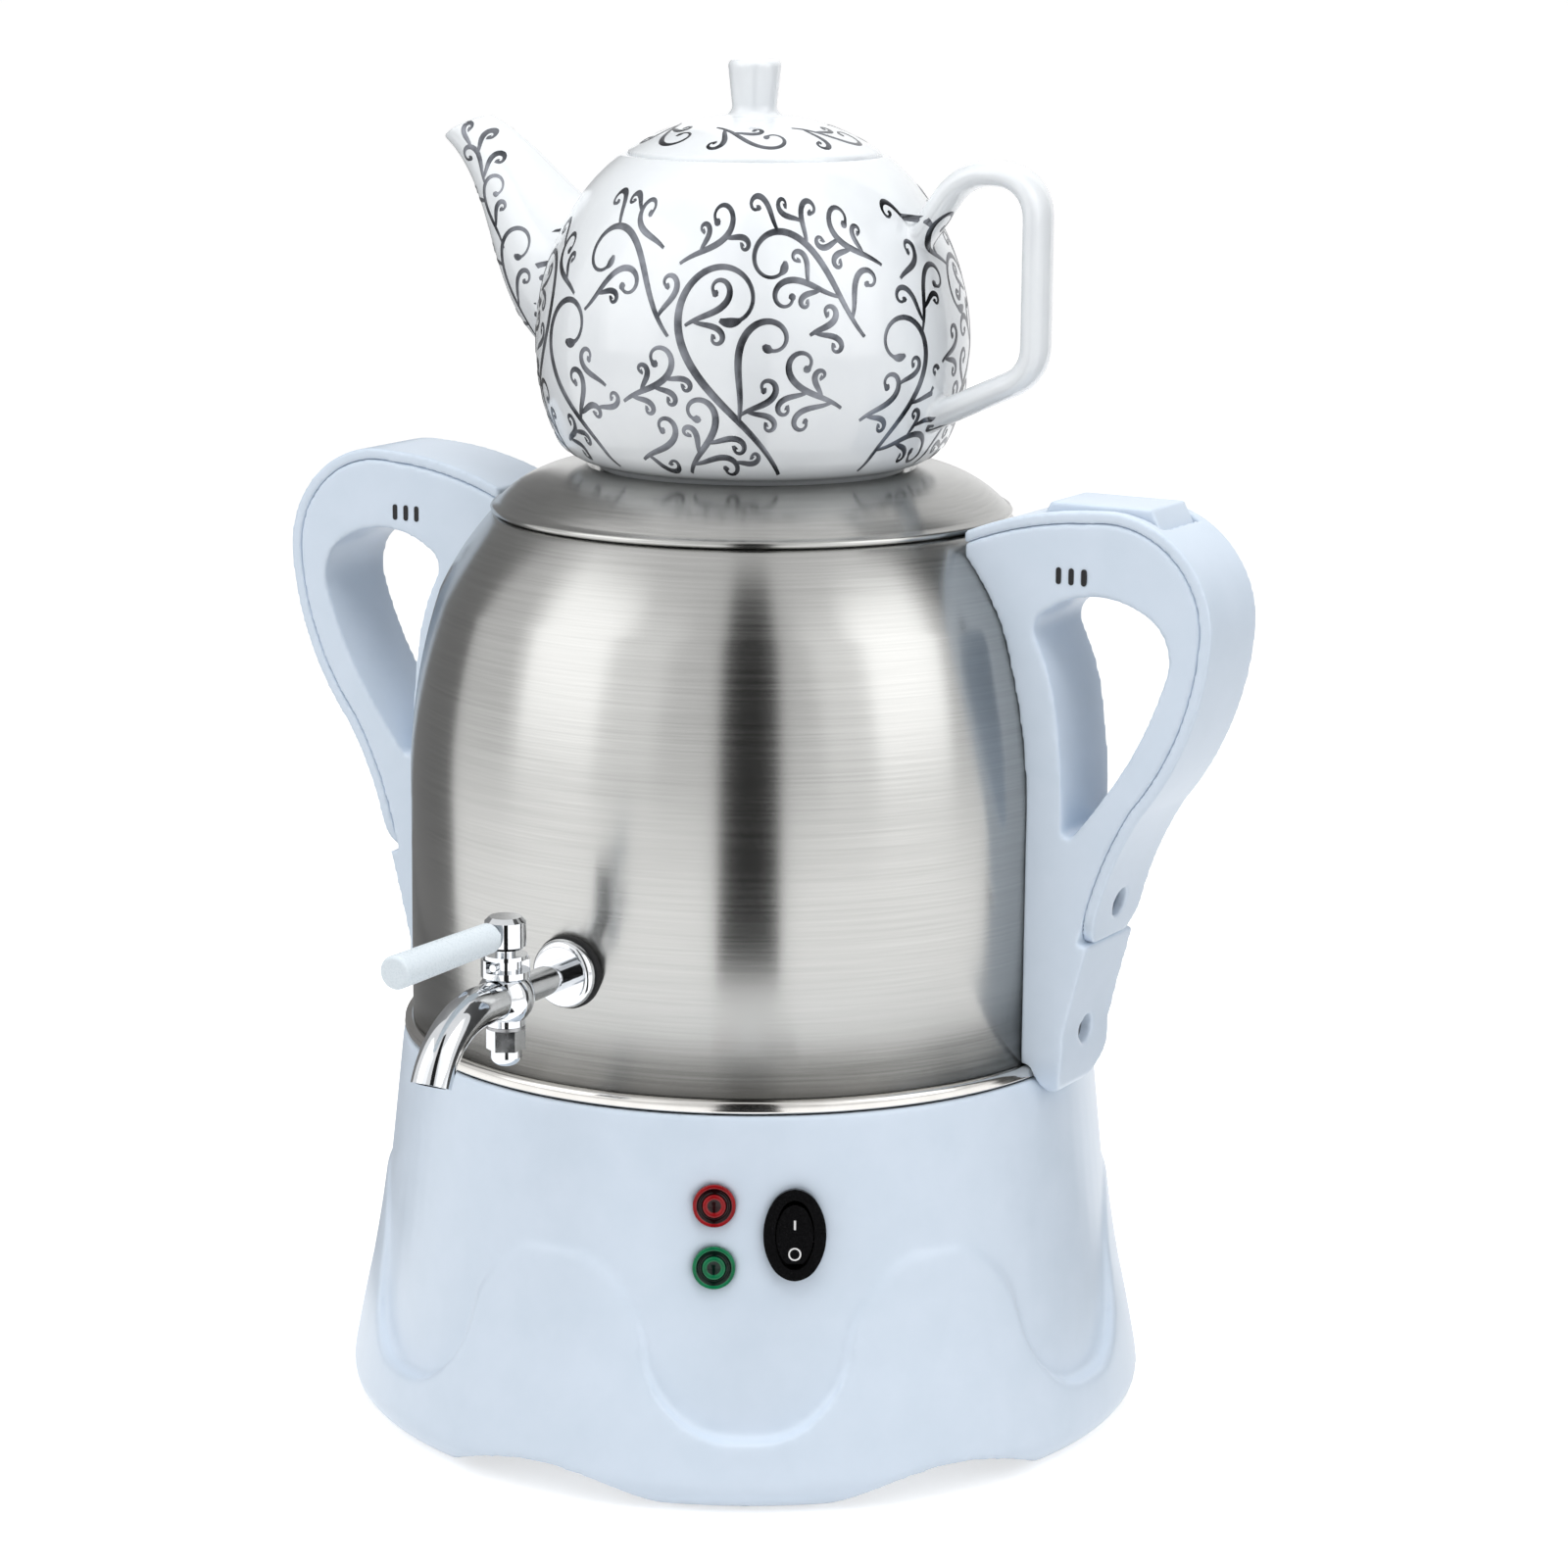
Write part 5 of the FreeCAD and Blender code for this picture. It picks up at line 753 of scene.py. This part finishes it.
def seen_itself(tree):
    """1 where the camera, a mirror or glass sees the surface or the world, 0 where it only lights."""
    path = add_node(tree, "ShaderNodeLightPath", {})
    mirrored = add_node(tree, "ShaderNodeMath", {"operation": "MAXIMUM"})
    tree.links.new(path.outputs["Is Glossy Ray"], mirrored.inputs[0])
    tree.links.new(path.outputs["Is Transmission Ray"], mirrored.inputs[1])
    seen = add_node(tree, "ShaderNodeMath", {"operation": "MAXIMUM"})
    tree.links.new(path.outputs["Is Camera Ray"], seen.inputs[0])
    tree.links.new(mirrored.outputs["Value"], seen.inputs[1])
    return seen


def pale_floor():
    """Matt white studio floor. It gives off the rest of the white where it is seen, and keeps the shadow."""
    material, tree, shader = new_material(
        "pale_floor", {"Base Color": linear("#F2F2F2"), "Roughness": 0.8})
    rest = add_node(tree, "ShaderNodeMath", {"operation": "MULTIPLY"})
    tree.links.new(seen_itself(tree).outputs["Value"], rest.inputs[0])
    rest.inputs[1].default_value = SEEN_FLOOR_GLOW
    glow = add_node(tree, "ShaderNodeEmission", {}, {"Strength": (rest, "Value")})
    both = add_node(tree, "ShaderNodeAddShader", {})
    tree.links.new(shader.outputs["BSDF"], both.inputs[0])
    tree.links.new(glow.outputs["Emission"], both.inputs[1])
    tree.links.new(both.outputs["Shader"], tree.nodes["Material Output"].inputs["Surface"])
    return material


floor_corners = [(x * FLOOR_REACH, y * FLOOR_REACH, 0.0) for x, y in ((-1, -1), (1, -1), (1, 1), (-1, 1))]
floor = add_mesh("floor", floor_corners, [(0, 1, 2, 3)], pale_floor(), False)

world = bpy.data.worlds.new("studio")
bpy.context.scene.world = world
world.use_nodes = True
tree = world.node_tree
tree.nodes.clear()
soft = add_node(tree, "ShaderNodeBackground", {"Color": linear("#FFFFFF"), "Strength": WORLD_LIGHT})
plain = add_node(tree, "ShaderNodeBackground", {"Color": linear("#FFFFFF"), "Strength": 1.0})
mixed = add_node(tree, "ShaderNodeMixShader", {}, {"Fac": (seen_itself(tree), "Value")})
tree.links.new(soft.outputs["Background"], mixed.inputs[1])
tree.links.new(plain.outputs["Background"], mixed.inputs[2])
add_node(tree, "ShaderNodeOutputWorld", {}, {"Surface": (mixed, "Shader")})

AIM = Vector((0.0, 0.0, 0.2))


def softbox(name, azimuth, elevation, distance, width, height, power):
    """A soft rectangular lamp round the object, aimed at its middle. Sizes are in metres."""
    a = math.radians(azimuth)
    e = math.radians(elevation)
    spot = AIM + Vector((math.sin(a) * math.cos(e), -math.cos(a) * math.cos(e), math.sin(e))) * distance
    lamp = bpy.data.lights.new(name, "AREA")
    lamp.shape = "RECTANGLE"
    lamp.size = width
    lamp.size_y = height
    lamp.energy = power
    holder = bpy.data.objects.new(name, lamp)
    aimed = (AIM - spot).to_track_quat("-Z", "Y").to_matrix().to_4x4()
    holder.matrix_world = Matrix.Translation(spot) @ aimed
    bpy.context.scene.collection.objects.link(holder)
    return holder


CARD_NEAR = 0.2
CARD_FAR = 0.75
CARD_TOP = 1.7
CARD_FOOT = 0.001


def card(name, from_azimuth, to_azimuth, colour):
    """A card that runs out along the floor and then stands up, seen only in mirrors. Sizes are in metres."""
    vertices = []
    for azimuth in (from_azimuth, to_azimuth):
        a = math.radians(azimuth)
        for reach, height in ((CARD_NEAR, CARD_FOOT), (CARD_FAR, CARD_FOOT), (CARD_FAR, CARD_TOP)):
            vertices.append((reach * math.sin(a), TANK_BACK - reach * math.cos(a), height))
    finish = new_material(name + "_cloth", {"Base Color": linear(colour), "Roughness": 0.9})[0]
    piece = add_mesh(name, vertices, [(0, 1, 4, 3), (1, 2, 5, 4)], finish, False)
    piece.visible_camera = False
    piece.visible_shadow = False
    piece.visible_diffuse = False


softbox("left_softbox", -68.0, 25.0, 1.3, 0.75, 1.2, 2.5)
softbox("left_wide_softbox", -60.0, 25.0, 1.35, 1.5, 1.2, 2.3)
softbox("right_softbox", 56.0, 25.0, 1.3, 0.65, 1.2, 2.4)
softbox("right_wide_softbox", 48.0, 25.0, 1.35, 1.2, 1.2, 2.2)
top_softbox = softbox("top_softbox", 0.0, 78.0, 1.5, 1.2, 1.2, 17.5)
top_softbox.visible_glossy = False

card("front_card", -9.5, 9.5, "#020202")
card("left_card", -112.0, -168.0, "#8C8C8C")
card("right_card", 82.0, 120.0, "#4A4A4A")

# Camera, at the angle and distance of the photograph

YAW = math.radians(0.458)
PITCH = math.radians(11.91)
ROLL = math.radians(0.496)
CAMERA_DISTANCE = 1.204
CAMERA_HEIGHT = 0.429
LENS = 100.35

forward = Vector((math.sin(YAW) * math.cos(PITCH), math.cos(YAW) * math.cos(PITCH), -math.sin(PITCH)))
right = Vector((math.cos(YAW), -math.sin(YAW), 0.0))
above = right.cross(forward)
right_rolled = right * math.cos(ROLL) + above * math.sin(ROLL)
above_rolled = above * math.cos(ROLL) - right * math.sin(ROLL)
camera_data = bpy.data.cameras.new("camera")
camera_data.lens = LENS
camera_data.sensor_width = 36.0
camera_data.clip_start = 0.05
camera = bpy.data.objects.new("camera", camera_data)
camera_turn = Matrix((right_rolled, above_rolled, -forward)).transposed().to_4x4()
camera.matrix_world = Matrix.Translation((0.0, TANK_BACK - CAMERA_DISTANCE, CAMERA_HEIGHT)) @ camera_turn
bpy.context.scene.collection.objects.link(camera)
bpy.context.scene.camera = camera
bpy.context.scene.view_settings.view_transform = "Standard"

bpy.context.view_layer.update()
